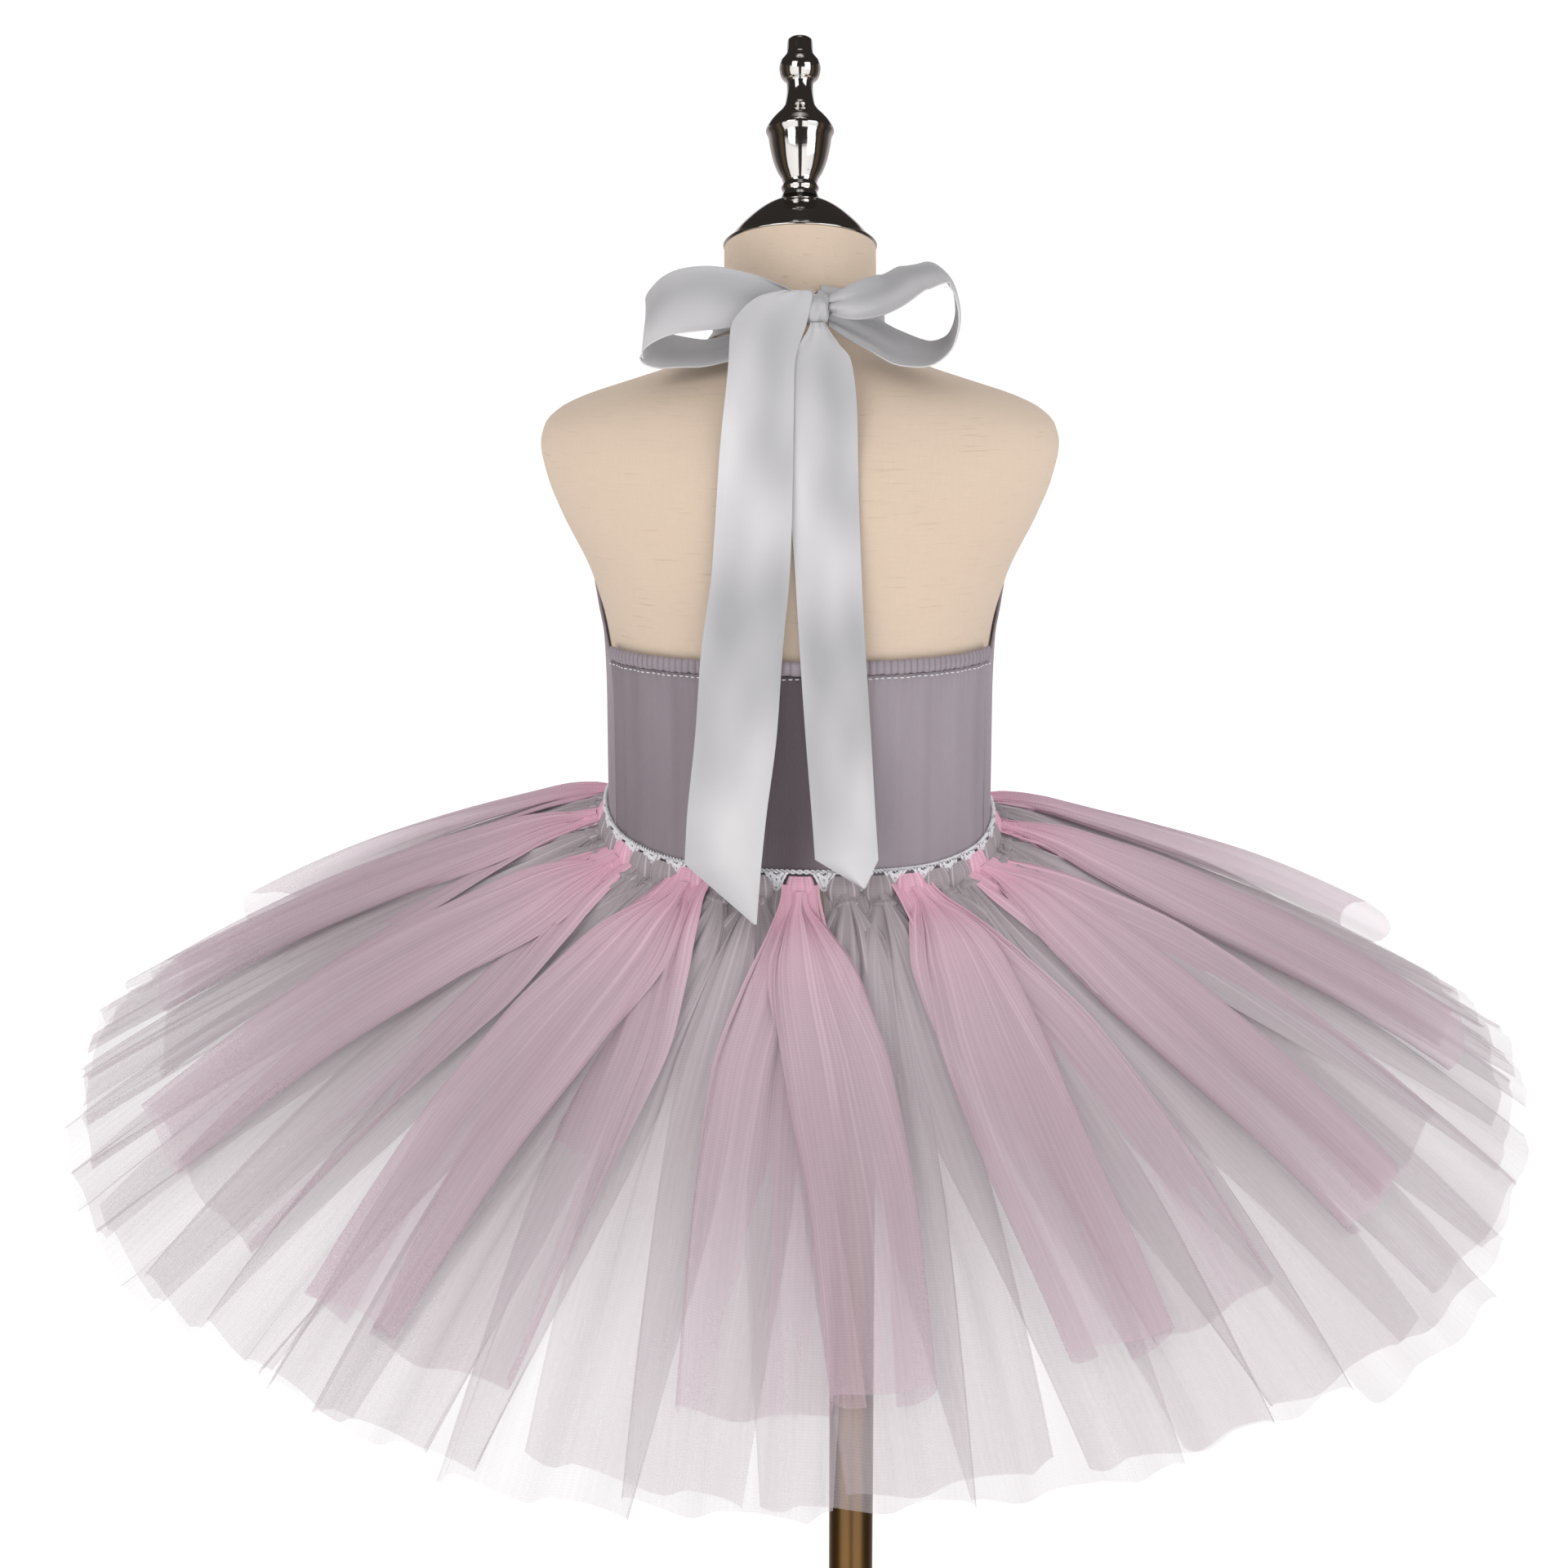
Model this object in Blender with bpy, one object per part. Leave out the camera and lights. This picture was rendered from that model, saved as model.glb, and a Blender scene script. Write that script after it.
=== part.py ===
"""A child's halter tutu dress on a limbless dress form with a round-based stand.

The dress's back, with its bow, faces -Y. Heights in the tables below are in millimetres from
the dress's waist level, which stands WAIST_HEIGHT above the floor. An angle round the body
is 0 at the middle of the back and grows towards +X, so 180 degrees is the middle of the front.
"""

import math
from bisect import bisect_right
from typing import NamedTuple

import bmesh
import bpy
from mathutils import Matrix, Vector

MM = 0.001
GAP = 0.3
WAIST_HEIGHT = 620.0
BODY_FROM_BOX_MIDDLE = (-2.3, -6.1)

KNIT_CLEARANCE = 1.2
KNIT_THICKNESS = 1.3
RIBBON_THICKNESS = 1.2
RIBBON_WIDTH = 38.0

FORM_SEGMENTS = 36
PROBE_ANGLE = 1.5
PROBE_HEIGHT = 2.0
NECK_TILT = math.radians(19.5)
NECK_TOP_HEIGHT = 286.0
TILT_STARTS_AT = 233.0
TILT_EASE = 1.5

SIDE_SEAM_ANGLE = 70.0
BACK_TOP_HEIGHT = 74.0
SEAM_GAP_DEGREES = 0.12
PANEL_BOTTOM_DROP = 9.0
BACK_COLUMNS = 53
BACK_ROWS = 5
BACK_FOLDS = 13
BACK_FOLD_DEPTH = 0.55
BACK_FOLD_AT_WAIST = 0.1
FRONT_COLUMNS = 27
FRONT_LEVELS = (0.0, 37.0, BACK_TOP_HEIGHT, 83.0, 100.0, 116.0, 133.0, 150.0, 170.0, 184.0, 194.0,
                201.0, 207.0, 216.0, 224.0)

CASING_HEIGHT = 7.6
CASING_DEPTH = 3.8
CASING_GATHERS = 32
CASING_SIDES = 6
CASING_DRAWN_IN = 0.86
BACK_FLATNESS = 1.6

WAIST_TILT = 3.0

LACE_TEETH = 36
LACE_CHORD = 2.4
LACE_TOOTH_LENGTH = 9.0
LACE_TOOTH_WIDTH_SHARE = 0.66
LACE_CLEARANCE = 3.4
LACE_THICKNESS = 1.3

KNOT_COUNT = 36
KNOT_PITCH = 360.0 / KNOT_COUNT
GREY_COUNT = 24
PINK_COUNT = 12
GREY_PITCH = 360.0 / GREY_COUNT
PINK_PITCH = 360.0 / PINK_COUNT
KNOT_CENTRE_OFFSET = 7.0
KNOT_DROP = 14.5
LOOP_OFFSET = 4.6
SKIRT_SPREAD_X = 291.0
SKIRT_SPREAD_Y = 211.0
GREY_LENGTH = 325.0
PINK_LENGTH = 272.0
CROWN_BACK = 4.0
CROWN_SIDE = 10.0
CROWN_FULLNESS = 0.8
EDGE_GAP_DEGREES = 0.22
KNOTTED_ABOVE = 2.5
KNOT_ROUNDING = 0.55
LENGTH_WAVES = ((0.022, 2.4, 0.0), (-0.012, 5.1, 0.5 * math.pi))

CAP_SEGMENTS = 28
FINIAL_SEGMENTS = 18
STAND_SEGMENTS = 24
BASE_SEGMENTS = 40
POLE_X = 30.0
POLE_RADIUS = 12.5
BASE_RADIUS = 145.0
BASE_THICKNESS = 6.0
BASE_FOOT_ROUNDING = 1.5
BASE_TOP_SLOPE = 3.0
BASE_COLLAR_HEIGHT = 14.0
BASE_COLLAR_RADIUS = 26.0
BASE_COLLAR_WAIST = 19.0
BASE_COLLAR_TOP = 17.0
FLANGE_THICKNESS = 4.0
FLANGE_RADIUS = 34.0
FLANGE_COLLAR = 16.0
FLANGE_COLLAR_RADIUS = 17.5


class Section(NamedTuple):
    """A level cut through the form."""

    height: float
    half_width: float
    half_depth: float
    squareness: float


FORM_SECTIONS = (
    Section(-95.0, 107.0, 82.0, 2.3),
    Section(-60.0, 104.0, 79.0, 2.3),
    Section(-30.0, 101.5, 76.0, 2.3),
    Section(0.0, 101.0, 75.0, 2.3),
    Section(50.0, 101.0, 77.0, 2.3),
    Section(83.0, 102.0, 78.0, 2.35),
    Section(116.0, 110.0, 79.0, 2.4),
    Section(150.0, 126.0, 77.0, 2.5),
    Section(168.0, 133.0, 74.5, 2.55),
    Section(186.0, 136.5, 70.0, 2.6),
    Section(196.0, 134.0, 66.0, 2.6),
    Section(203.0, 127.0, 63.0, 2.55),
    Section(209.0, 115.0, 60.0, 2.5),
    Section(217.0, 91.0, 56.0, 2.4),
    Section(225.0, 67.0, 52.0, 2.25),
    Section(233.0, 50.0, 47.0, 2.1),
    Section(243.0, 43.0, 43.0, 2.0),
    Section(262.0, 40.0, 40.5, 2.0),
    Section(NECK_TOP_HEIGHT, 39.5, 38.5, 2.0),
)
FORM_RINGS = (-95.0, -92.0, -60.0, -30.0, 0.0, 45.0, 83.0, 100.0, 116.0, 133.0, 150.0, 170.0,
              184.0, 194.0, 201.0, 207.0, 216.0, 224.0, 233.0, 244.0, 262.0, NECK_TOP_HEIGHT)
FORM_BOTTOM_ROUNDING = 3.0


class ArmholeEdge(NamedTuple):
    """Where the front panel's edge stands at a height, as an angle from the back."""

    height: float
    angle: float


ARMHOLE = (
    ArmholeEdge(74.0, SIDE_SEAM_ANGLE + 2.0),
    ArmholeEdge(83.0, 79.0),
    ArmholeEdge(100.0, 89.0),
    ArmholeEdge(116.0, 99.0),
    ArmholeEdge(135.0, 118.0),
    ArmholeEdge(150.0, 131.5),
    ArmholeEdge(170.0, 145.0),
    ArmholeEdge(190.0, 154.0),
    ArmholeEdge(208.0, 155.0),
    ArmholeEdge(224.0, 146.0),
)


class Turned(NamedTuple):
    """A point of a turned profile."""

    along: float
    radius: float


CAP_PROFILE = (
    Turned(0.0, 40.0),
    Turned(1.6, 40.0),
    Turned(2.6, 38.0),
    Turned(4.2, 36.6),
    Turned(9.5, 32.3),
    Turned(15.6, 26.2),
    Turned(19.4, 21.6),
    Turned(22.3, 17.2),
    Turned(25.0, 11.8),
    Turned(26.6, 9.6),
)
FINIAL_PROFILE = (
    Turned(26.9, 9.8),
    Turned(29.9, 9.0),
    Turned(32.1, 9.9),
    Turned(34.3, 8.9),
    Turned(36.6, 9.3),
    Turned(41.0, 11.8),
    Turned(47.7, 14.3),
    Turned(54.4, 15.8),
    Turned(60.2, 16.8),
    Turned(62.9, 17.9),
    Turned(66.9, 16.2),
    Turned(70.9, 13.1),
    Turned(74.5, 9.7),
    Turned(77.6, 7.8),
    Turned(85.6, 6.8),
    Turned(89.6, 7.1),
    Turned(91.2, 9.0),
    Turned(94.0, 10.4),
    Turned(97.2, 10.9),
    Turned(100.8, 10.1),
    Turned(103.5, 8.2),
    Turned(105.3, 7.0),
    Turned(112.4, 6.4),
    Turned(113.6, 5.2),
)


class WaistLevel(NamedTuple):
    """How high the waist seam stands at an angle from the back."""

    angle: float
    height: float


WAIST = (
    WaistLevel(0.0, -28.0),
    WaistLevel(30.0, -27.0),
    WaistLevel(60.0, -21.0),
    WaistLevel(80.0, -12.5),
    WaistLevel(95.0, -6.5),
    WaistLevel(120.0, -3.0),
    WaistLevel(180.0, -2.0),
)


class Slope(NamedTuple):
    """How steeply the skirt falls at an angle from the back."""

    angle: float
    below_level: float


SKIRT_SLOPE = (
    Slope(0.0, 49.5),
    Slope(45.0, 38.3),
    Slope(70.0, 30.0),
    Slope(90.0, 26.2),
    Slope(112.0, 23.5),
    Slope(130.0, 26.0),
    Slope(152.0, 38.0),
    Slope(180.0, 48.5),
)


class Station(NamedTuple):
    """A cut across a tulle strip, at a distance from its knot. The loop that the knot hangs
    by lies before it, up between two points of the lace.

    width is the share of its own sector that it fills, fanned is how far its sector has
    opened from the knot's to the hem's, and wave is how high its fold stands.
    """

    along: float
    thickness: float
    width: float
    fanned: float
    wave: float


GREY_STATIONS = (
    Station(-11.3, 2.0, 0.27, 0.0, 0.0),
    Station(0.0, 5.0, 0.50, 0.0, 0.0),
    Station(5.0, 8.2, 0.66, 0.0, 0.3),
    Station(12.0, 5.5, 0.46, 0.0, 0.2),
    Station(24.0, 2.2, 0.82, 0.0, 0.8),
    Station(56.0, 1.4, 1.0, 0.35, 2.2),
    Station(110.0, 1.3, 1.0, 0.9, 3.4),
    Station(200.0, 1.3, 1.0, 1.0, 4.6),
    Station(GREY_LENGTH, 1.3, 1.0, 1.0, 5.4),
)


class RaisedStation(NamedTuple):
    """A cut across an upper strip, which also rises clear of the strips below it."""

    along: float
    thickness: float
    width: float
    fanned: float
    wave: float
    lift: float


PINK_STATIONS = (
    RaisedStation(-11.3, 2.0, 0.27, 0.0, 0.0, 0.0),
    RaisedStation(0.0, 5.0, 0.52, 0.0, 0.0, 0.6),
    RaisedStation(5.0, 8.6, 0.70, 0.0, 0.3, 1.2),
    RaisedStation(12.0, 6.0, 0.50, 0.0, 0.2, 3.4),
    RaisedStation(24.0, 2.4, 0.90, 0.0, 1.4, 7.0),
    RaisedStation(56.0, 1.4, 1.0, 0.30, 3.6, 9.0),
    RaisedStation(110.0, 1.3, 1.0, 0.7, 5.5, 10.0),
    RaisedStation(190.0, 1.3, 1.0, 1.0, 8.0, 10.5),
    RaisedStation(PINK_LENGTH, 1.3, 0.92, 1.0, 12.0, 10.5),
)
GREY_COLUMNS = 5
PINK_COLUMNS = 5
PINK_HEM_SHARE = 0.80


class Band(NamedTuple):
    """A cut across a ribbon: its middle, its width and how far its top edge leans back."""

    x: float
    out: float
    height: float
    width: float
    lean: float


LEFT_LOOP = (
    Band(-0.6, 57.0, 260.0, 9.0, 0.0),
    Band(-12.0, 60.0, 262.0, 18.0, 10.0),
    Band(-27.0, 61.5, 263.5, 27.0, 20.0),
    Band(-44.0, 61.0, 264.0, 34.0, 28.0),
    Band(-60.0, 57.0, 262.5, 37.0, 35.0),
    Band(-73.0, 50.0, 257.0, RIBBON_WIDTH, 42.0),
    Band(-80.0, 40.5, 248.5, RIBBON_WIDTH, 50.0),
    Band(-79.0, 35.0, 240.5, RIBBON_WIDTH, 58.0),
    Band(-69.0, 34.0, 235.5, 37.0, 66.0),
    Band(-53.0, 37.0, 234.5, 34.0, 70.0),
    Band(-35.0, 43.0, 238.0, 27.0, 62.0),
    Band(-17.0, 49.5, 246.5, 18.0, 40.0),
    Band(-0.6, 54.0, 254.0, 9.0, 10.0),
)
RIGHT_LOOP = (
    Band(14.6, 57.0, 260.0, 9.0, 0.0),
    Band(27.0, 60.0, 262.0, 20.0, 25.0),
    Band(43.0, 60.0, 266.5, 30.0, 50.0),
    Band(57.0, 55.5, 273.5, 36.0, 70.0),
    Band(68.0, 51.0, 275.5, RIBBON_WIDTH, 80.0),
    Band(77.0, 47.5, 268.5, RIBBON_WIDTH, 85.0),
    Band(80.0, 46.0, 254.0, RIBBON_WIDTH, 88.0),
    Band(76.5, 44.5, 241.0, RIBBON_WIDTH, 84.0),
    Band(65.0, 43.5, 235.0, RIBBON_WIDTH, 76.0),
    Band(50.0, 44.5, 238.0, 34.0, 64.0),
    Band(36.0, 47.5, 245.5, 26.0, 50.0),
    Band(24.0, 51.0, 251.5, 18.0, 25.0),
    Band(14.6, 54.0, 254.5, 9.0, 5.0),
)
LOOP_STEPS = 2
LOOP_COLUMNS = 4
LOOP_CUP = 0.9


class Tail(NamedTuple):
    """A cut across a hanging ribbon end: its height, its two edges and how far out each lies."""

    height: float
    left: float
    right: float
    left_out: float
    right_out: float


LEFT_TAIL = (
    Tail(268.0, -8.0, 4.5, 66.2, 65.3),
    Tail(265.5, -20.0, 5.7, 68.2, 65.1),
    Tail(258.0, -30.2, 4.5, 70.0, 65.1),
    Tail(250.0, -35.1, 2.5, 71.0, 66.0),
    Tail(230.0, -36.5, -3.0, 72.0, 69.8),
    Tail(189.5, -40.7, -3.7, 77.0, 76.0),
    Tail(150.0, -43.4, -4.5, 82.0, 81.5),
    Tail(128.0, -45.0, -5.4, 84.0, 84.0),
    Tail(87.0, -50.6, -9.1, 87.0, 87.0),
    Tail(45.0, -53.7, -12.1, 88.5, 88.5),
    Tail(3.0, -58.1, -17.5, 91.5, 91.5),
    Tail(-20.5, -59.4, -20.0, 97.5, 98.5),
)
LEFT_TAIL_TIP = Tail(-49.0, -23.6, -22.4, 110.0, 110.0)
RIGHT_TAIL = (
    Tail(252.0, 5.0, 12.0, 64.2, 64.2),
    Tail(248.0, 3.5, 14.5, 64.4, 64.6),
    Tail(241.0, -1.0, 19.5, 65.8, 66.2),
    Tail(234.0, -4.5, 25.0, 67.0, 67.5),
    Tail(209.5, -4.9, 28.4, 70.8, 70.8),
    Tail(169.0, -5.4, 29.3, 76.5, 76.5),
    Tail(128.0, -2.9, 30.8, 81.5, 81.5),
    Tail(87.0, -0.4, 33.1, 84.8, 84.8),
    Tail(45.0, 2.5, 36.0, 86.0, 86.0),
    Tail(3.0, 5.9, 38.5, 89.0, 89.0),
    Tail(-18.6, 7.5, 39.9, 95.5, 95.5),
)
RIGHT_TAIL_TIP = Tail(-32.0, 31.8, 33.0, 101.0, 101.0)
TAIL_COLUMNS = 4
TAIL_CURL = 1.2

KNOT_X = 7.0
KNOT_OUT = 56.3
KNOT_HEIGHT = 258.0
KNOT_HALF = Vector((7.2, 7.8, 8.6))
KNOT_SIDES = 14
KNOT_LEVELS = 7
KNOT_END_LEVEL = 0.96
KNOT_FOLD = 0.06
KNOT_SQUARENESS = 0.8


class NeckRibbon(NamedTuple):
    """A cut across the ribbon round the neck, at an angle from the back."""

    angle: float
    height: float
    width: float


NECK_RIBBON = (
    NeckRibbon(14.0, 257.0, 12.0),
    NeckRibbon(40.0, 254.0, 15.0),
    NeckRibbon(75.0, 249.0, 18.0),
    NeckRibbon(105.0, 243.0, 18.0),
    NeckRibbon(128.0, 236.5, 14.0),
    NeckRibbon(141.0, 232.6, 9.0),
)
NECK_RIBBON_STEPS = 3
NECK_RIBBON_CLEARANCE = 1.7
NECK_RIBBON_FOLD = 0.5
NECK_RIBBON_COLUMNS = (-0.5, -0.15, 0.15, 0.5)
NECK_CASING_HALF_ANGLE = 36.0
NECK_CASING_HEIGHT = 229.6
NECK_CASING_CLEARANCE = 1.9
NECK_CASING_SIZE = 8.6
NECK_CASING_DEPTH = 4.2
NECK_CASING_GATHERS = 12

FINISHES = {
    "linen": ((0.72, 0.60, 0.47), 0.85, 0.0),
    "knit": ((0.27, 0.23, 0.27), 0.75, 0.0),
    "satin": ((0.62, 0.61, 0.62), 0.35, 0.0),
    "lace": ((0.80, 0.79, 0.82), 0.80, 0.0),
    "tulle_grey": ((0.48, 0.45, 0.47), 0.70, 0.0),
    "tulle_pink": ((0.66, 0.42, 0.52), 0.70, 0.0),
    "chrome": ((0.75, 0.74, 0.72), 0.08, 1.0),
    "steel": ((0.42, 0.36, 0.28), 0.30, 0.9),
}


def read(rows, at):
    """The table's columns after the first, read smoothly at a value of the first.

    The slope at each row is the harmonic mean of its neighbours', so nothing overshoots.
    """
    keys = [row[0] for row in rows]
    at = min(max(at, keys[0]), keys[-1])
    low = min(bisect_right(keys, at), len(keys) - 1) - 1
    span = keys[low + 1] - keys[low]
    t = (at - keys[low]) / span

    def rise(index, column):
        return (rows[index + 1][column] - rows[index][column]) / (keys[index + 1] - keys[index])

    def slope(index, column):
        if index in (0, len(keys) - 1):
            return rise(min(index, len(keys) - 2), column)
        before, after = rise(index - 1, column), rise(index, column)
        if before * after <= 0.0:
            return 0.0
        return 2.0 * before * after / (before + after)

    values = []
    for column in range(1, len(rows[0])):
        start, end = rows[low][column], rows[low + 1][column]
        into, out_of = slope(low, column) * span, slope(low + 1, column) * span
        values.append(
            (2 * t**3 - 3 * t**2 + 1) * start
            + (t**3 - 2 * t**2 + t) * into
            + (3 * t**2 - 2 * t**3) * end
            + (t**3 - t**2) * out_of
        )
    return values


def signed_power(value, power):
    """A power that keeps its base's sign."""
    return math.copysign(abs(value) ** power, value)


def folded(angle):
    """The angle from the back, whichever way round."""
    return abs((angle + 180.0) % 360.0 - 180.0)


def skin_point(angle, height):
    """A point on the form's skin, at an angle in degrees."""
    half_width, half_depth, squareness = read(FORM_SECTIONS, height)
    turn = math.radians(angle)
    power = 2.0 / squareness
    x = half_width * signed_power(math.sin(turn), power)
    y = -half_depth * signed_power(math.cos(turn), power)
    rise = (height - TILT_STARTS_AT) / (NECK_TOP_HEIGHT - TILT_STARTS_AT)
    tilt = math.tan(NECK_TILT) * min(max(rise, 0.0), 1.0) ** TILT_EASE
    return Vector((x, y, height - y * tilt))


def body_point(angle, height, offset):
    """A point that lies offset outside the form's skin, square to it."""
    around = skin_point(angle + PROBE_ANGLE, height) - skin_point(angle - PROBE_ANGLE, height)
    upwards = skin_point(angle, height + PROBE_HEIGHT) - skin_point(angle, height - PROBE_HEIGHT)
    return skin_point(angle, height) + around.cross(upwards).normalized() * offset


def waist_height(angle):
    """The waist's height: it dips at the back and tilts a little to one side."""
    return read(WAIST, folded(angle))[0] - WAIST_TILT * math.sin(math.radians(angle))


def placed(point):
    """A point of the tables as a place in the part, in metres above the floor.

    The skirt reaches a little further to the front and one side, so the body stands off the
    middle of the part's box by as much.
    """
    aside, back = BODY_FROM_BOX_MIDDLE
    return Vector((point.x + aside, point.y + back, point.z + WAIST_HEIGHT)) * MM


def finish(name):
    """The plain finish of a material slot."""
    colour, roughness, metallic = FINISHES[name]
    material = bpy.data.materials.get(name) or bpy.data.materials.new(name)
    material.use_nodes = True
    shader = material.node_tree.nodes["Principled BSDF"]
    shader.inputs["Base Color"].default_value = (*colour, 1.0)
    shader.inputs["Roughness"].default_value = roughness
    shader.inputs["Metallic"].default_value = metallic
    return material


def add_piece(name, points, faces, finish_name, smooth_angle=50.0):
    """An object from points in millimetres, with its faces turned outwards."""
    mesh = bpy.data.meshes.new(name)
    shape = bmesh.new()
    corners = [shape.verts.new(placed(point)) for point in points]
    for face in faces:
        shape.faces.new([corners[index] for index in face])
    bmesh.ops.triangulate(shape, faces=shape.faces[:])
    bmesh.ops.recalc_face_normals(shape, faces=shape.faces[:])
    shape.to_mesh(mesh)
    shape.free()
    mesh.shade_smooth()
    mesh.set_sharp_from_angle(angle=math.radians(smooth_angle))
    mesh.materials.append(finish(finish_name))
    piece = bpy.data.objects.new(name, mesh)
    bpy.context.scene.collection.objects.link(piece)
    return piece


def add_skin(name, rings, finish_name):
    """A closed body through rings of equal length, with a fan over each end."""
    count = len(rings[0])
    points = [point for ring in rings for point in ring]
    faces = []
    for level in range(len(rings) - 1):
        for index in range(count):
            following = (index + 1) % count
            lower, upper = level * count, (level + 1) * count
            faces.append((lower + index, lower + following, upper + following, upper + index))
    for ring_start in (0, (len(rings) - 1) * count):
        middle = sum((points[ring_start + i] for i in range(count)), Vector()) / count
        points.append(middle)
        hub = len(points) - 1
        faces += [(ring_start + i, ring_start + (i + 1) % count, hub) for i in range(count)]
    return add_piece(name, points, faces, finish_name)


def add_wall(name, outer, inner, finish_name, ring=False):
    """A wall between two like grids of points, rows by columns, closed round its edges."""
    rows, columns = len(outer), len(outer[0])
    points = [point for row in outer for point in row] + [point for row in inner for point in row]
    behind = rows * columns
    steps = columns if ring else columns - 1

    def at(row, column):
        return row * columns + column % columns

    faces = []
    for row in range(rows - 1):
        for column in range(steps):
            quad = (at(row, column), at(row, column + 1), at(row + 1, column + 1), at(row + 1, column))
            faces.append(quad)
            faces.append(tuple(behind + index for index in reversed(quad)))
    for column in range(steps):
        for row in (0, rows - 1):
            near, far = at(row, column), at(row, column + 1)
            faces.append((near, behind + near, behind + far, far))
    if not ring:
        for row in range(rows - 1):
            for column in (0, columns - 1):
                near, far = at(row, column), at(row + 1, column)
                faces.append((near, far, behind + far, behind + near))
    return add_piece(name, points, faces, finish_name)


def add_turned(name, profile, segments, finish_name, frame):
    """A profile turned about frame's own Z axis."""
    rings = []
    for along, radius in profile:
        turns = [2.0 * math.pi * step / segments for step in range(segments)]
        rings.append([frame @ Vector((radius * math.cos(t), radius * math.sin(t), along)) for t in turns])
    return add_skin(name, rings, finish_name)


def add_gathered_tube(name, centres, depth, height, finish_name):
    """A small gathered casing: each centre is (point, outward direction, fullness)."""
    rings = []
    for point, outward, fullness in centres:
        ring = []
        for step in range(CASING_SIDES):
            turn = 2.0 * math.pi * (step + 0.5) / CASING_SIDES
            widest = math.cos(math.pi / CASING_SIDES)
            across = outward * (0.5 * depth * fullness * math.cos(turn) / widest)
            up = Vector((0.0, 0.0, 0.5 * height * fullness * math.sin(turn)))
            ring.append(point + across + up)
        rings.append(ring)
    return add_skin(name, rings, finish_name)


def spread(start, end, count):
    """Even values from start to end."""
    return [start + (end - start) * step / (count - 1) for step in range(count)]


def build_form():
    """The limbless torso with its neck."""
    rings = []
    for level, height in enumerate(FORM_RINGS):
        inset = -FORM_BOTTOM_ROUNDING if level == 0 else 0.0
        turns = [360.0 * step / FORM_SEGMENTS for step in range(FORM_SEGMENTS)]
        ring = [skin_point(turn, height) for turn in turns]
        rings.append([point + Vector((point.x, point.y, 0.0)).normalized() * inset for point in ring])
    add_skin("form_torso", rings, "linen")


def build_cap_and_finial():
    """The turned cap and finial on the neck's tilted top."""
    seat = Vector((0.0, 0.0, NECK_TOP_HEIGHT))
    frame = Matrix.Translation(seat) @ Matrix.Rotation(-NECK_TILT, 4, "X") @ Matrix.Translation((0, 0, GAP))
    add_turned("neck_cap", CAP_PROFILE, CAP_SEGMENTS, "chrome", frame)
    add_turned("finial", FINIAL_PROFILE, FINIAL_SEGMENTS, "chrome", frame)


def build_stand():
    """The flange under the form, the pole, its collar and the round base."""
    underside = FORM_SECTIONS[0].height - GAP
    flange_underside = underside - FLANGE_THICKNESS
    pole_top = flange_underside - FLANGE_COLLAR
    flange = (
        Turned(pole_top, FLANGE_COLLAR_RADIUS - 0.5),
        Turned(flange_underside, FLANGE_COLLAR_RADIUS),
        Turned(flange_underside, FLANGE_RADIUS),
        Turned(underside, FLANGE_RADIUS),
    )
    floor = -WAIST_HEIGHT
    base_top = floor + BASE_THICKNESS
    base = (
        Turned(floor, BASE_RADIUS - 1.0),
        Turned(floor + BASE_FOOT_ROUNDING, BASE_RADIUS),
        Turned(base_top - 2.0, BASE_RADIUS),
        Turned(base_top, BASE_RADIUS - BASE_TOP_SLOPE),
    )
    collar_foot = base_top + GAP
    collar_top = collar_foot + BASE_COLLAR_HEIGHT
    collar = (
        Turned(collar_foot, BASE_COLLAR_RADIUS),
        Turned(collar_foot + 3.0, BASE_COLLAR_RADIUS),
        Turned(collar_foot + 6.0, BASE_COLLAR_WAIST),
        Turned(collar_top, BASE_COLLAR_TOP),
    )
    pole = (
        Turned(collar_top + GAP, POLE_RADIUS),
        Turned(pole_top - GAP, POLE_RADIUS),
    )
    frame = Matrix.Translation((POLE_X, 0.0, 0.0))
    add_turned("base_plate", base, BASE_SEGMENTS, "steel", frame)
    add_turned("base_collar", collar, STAND_SEGMENTS, "steel", frame)
    add_turned("pole", pole, STAND_SEGMENTS, "steel", frame)
    add_turned("pole_flange", flange, STAND_SEGMENTS, "steel", frame)


def knit_point(angle, height, outside, fold=0.0):
    """A point on the knit's outer or inner face."""
    offset = KNIT_CLEARANCE + fold + (KNIT_THICKNESS if outside else 0.0)
    return body_point(angle, height, offset)


def build_bodice_back():
    """The back panel, with its upright folds."""
    edge = SIDE_SEAM_ANGLE - SEAM_GAP_DEGREES
    grids = []
    for outside in (True, False):
        grid = []
        for share in spread(0.0, 1.0, BACK_ROWS):
            row = []
            for angle in spread(-edge, edge, BACK_COLUMNS):
                bottom = waist_height(angle) - PANEL_BOTTOM_DROP
                height = bottom + (BACK_TOP_HEIGHT - bottom) * share
                swell = math.cos(2.0 * math.pi * BACK_FOLDS * (angle + edge) / (2.0 * edge))
                deep = BACK_FOLD_AT_WAIST + (1.0 - BACK_FOLD_AT_WAIST) * share
                fold = BACK_FOLD_DEPTH * (1.0 + swell) * deep
                row.append(knit_point(angle, height, outside, fold))
            grid.append(row)
        grids.append(grid)
    add_wall("bodice_back", grids[0], grids[1], "knit")


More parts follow.
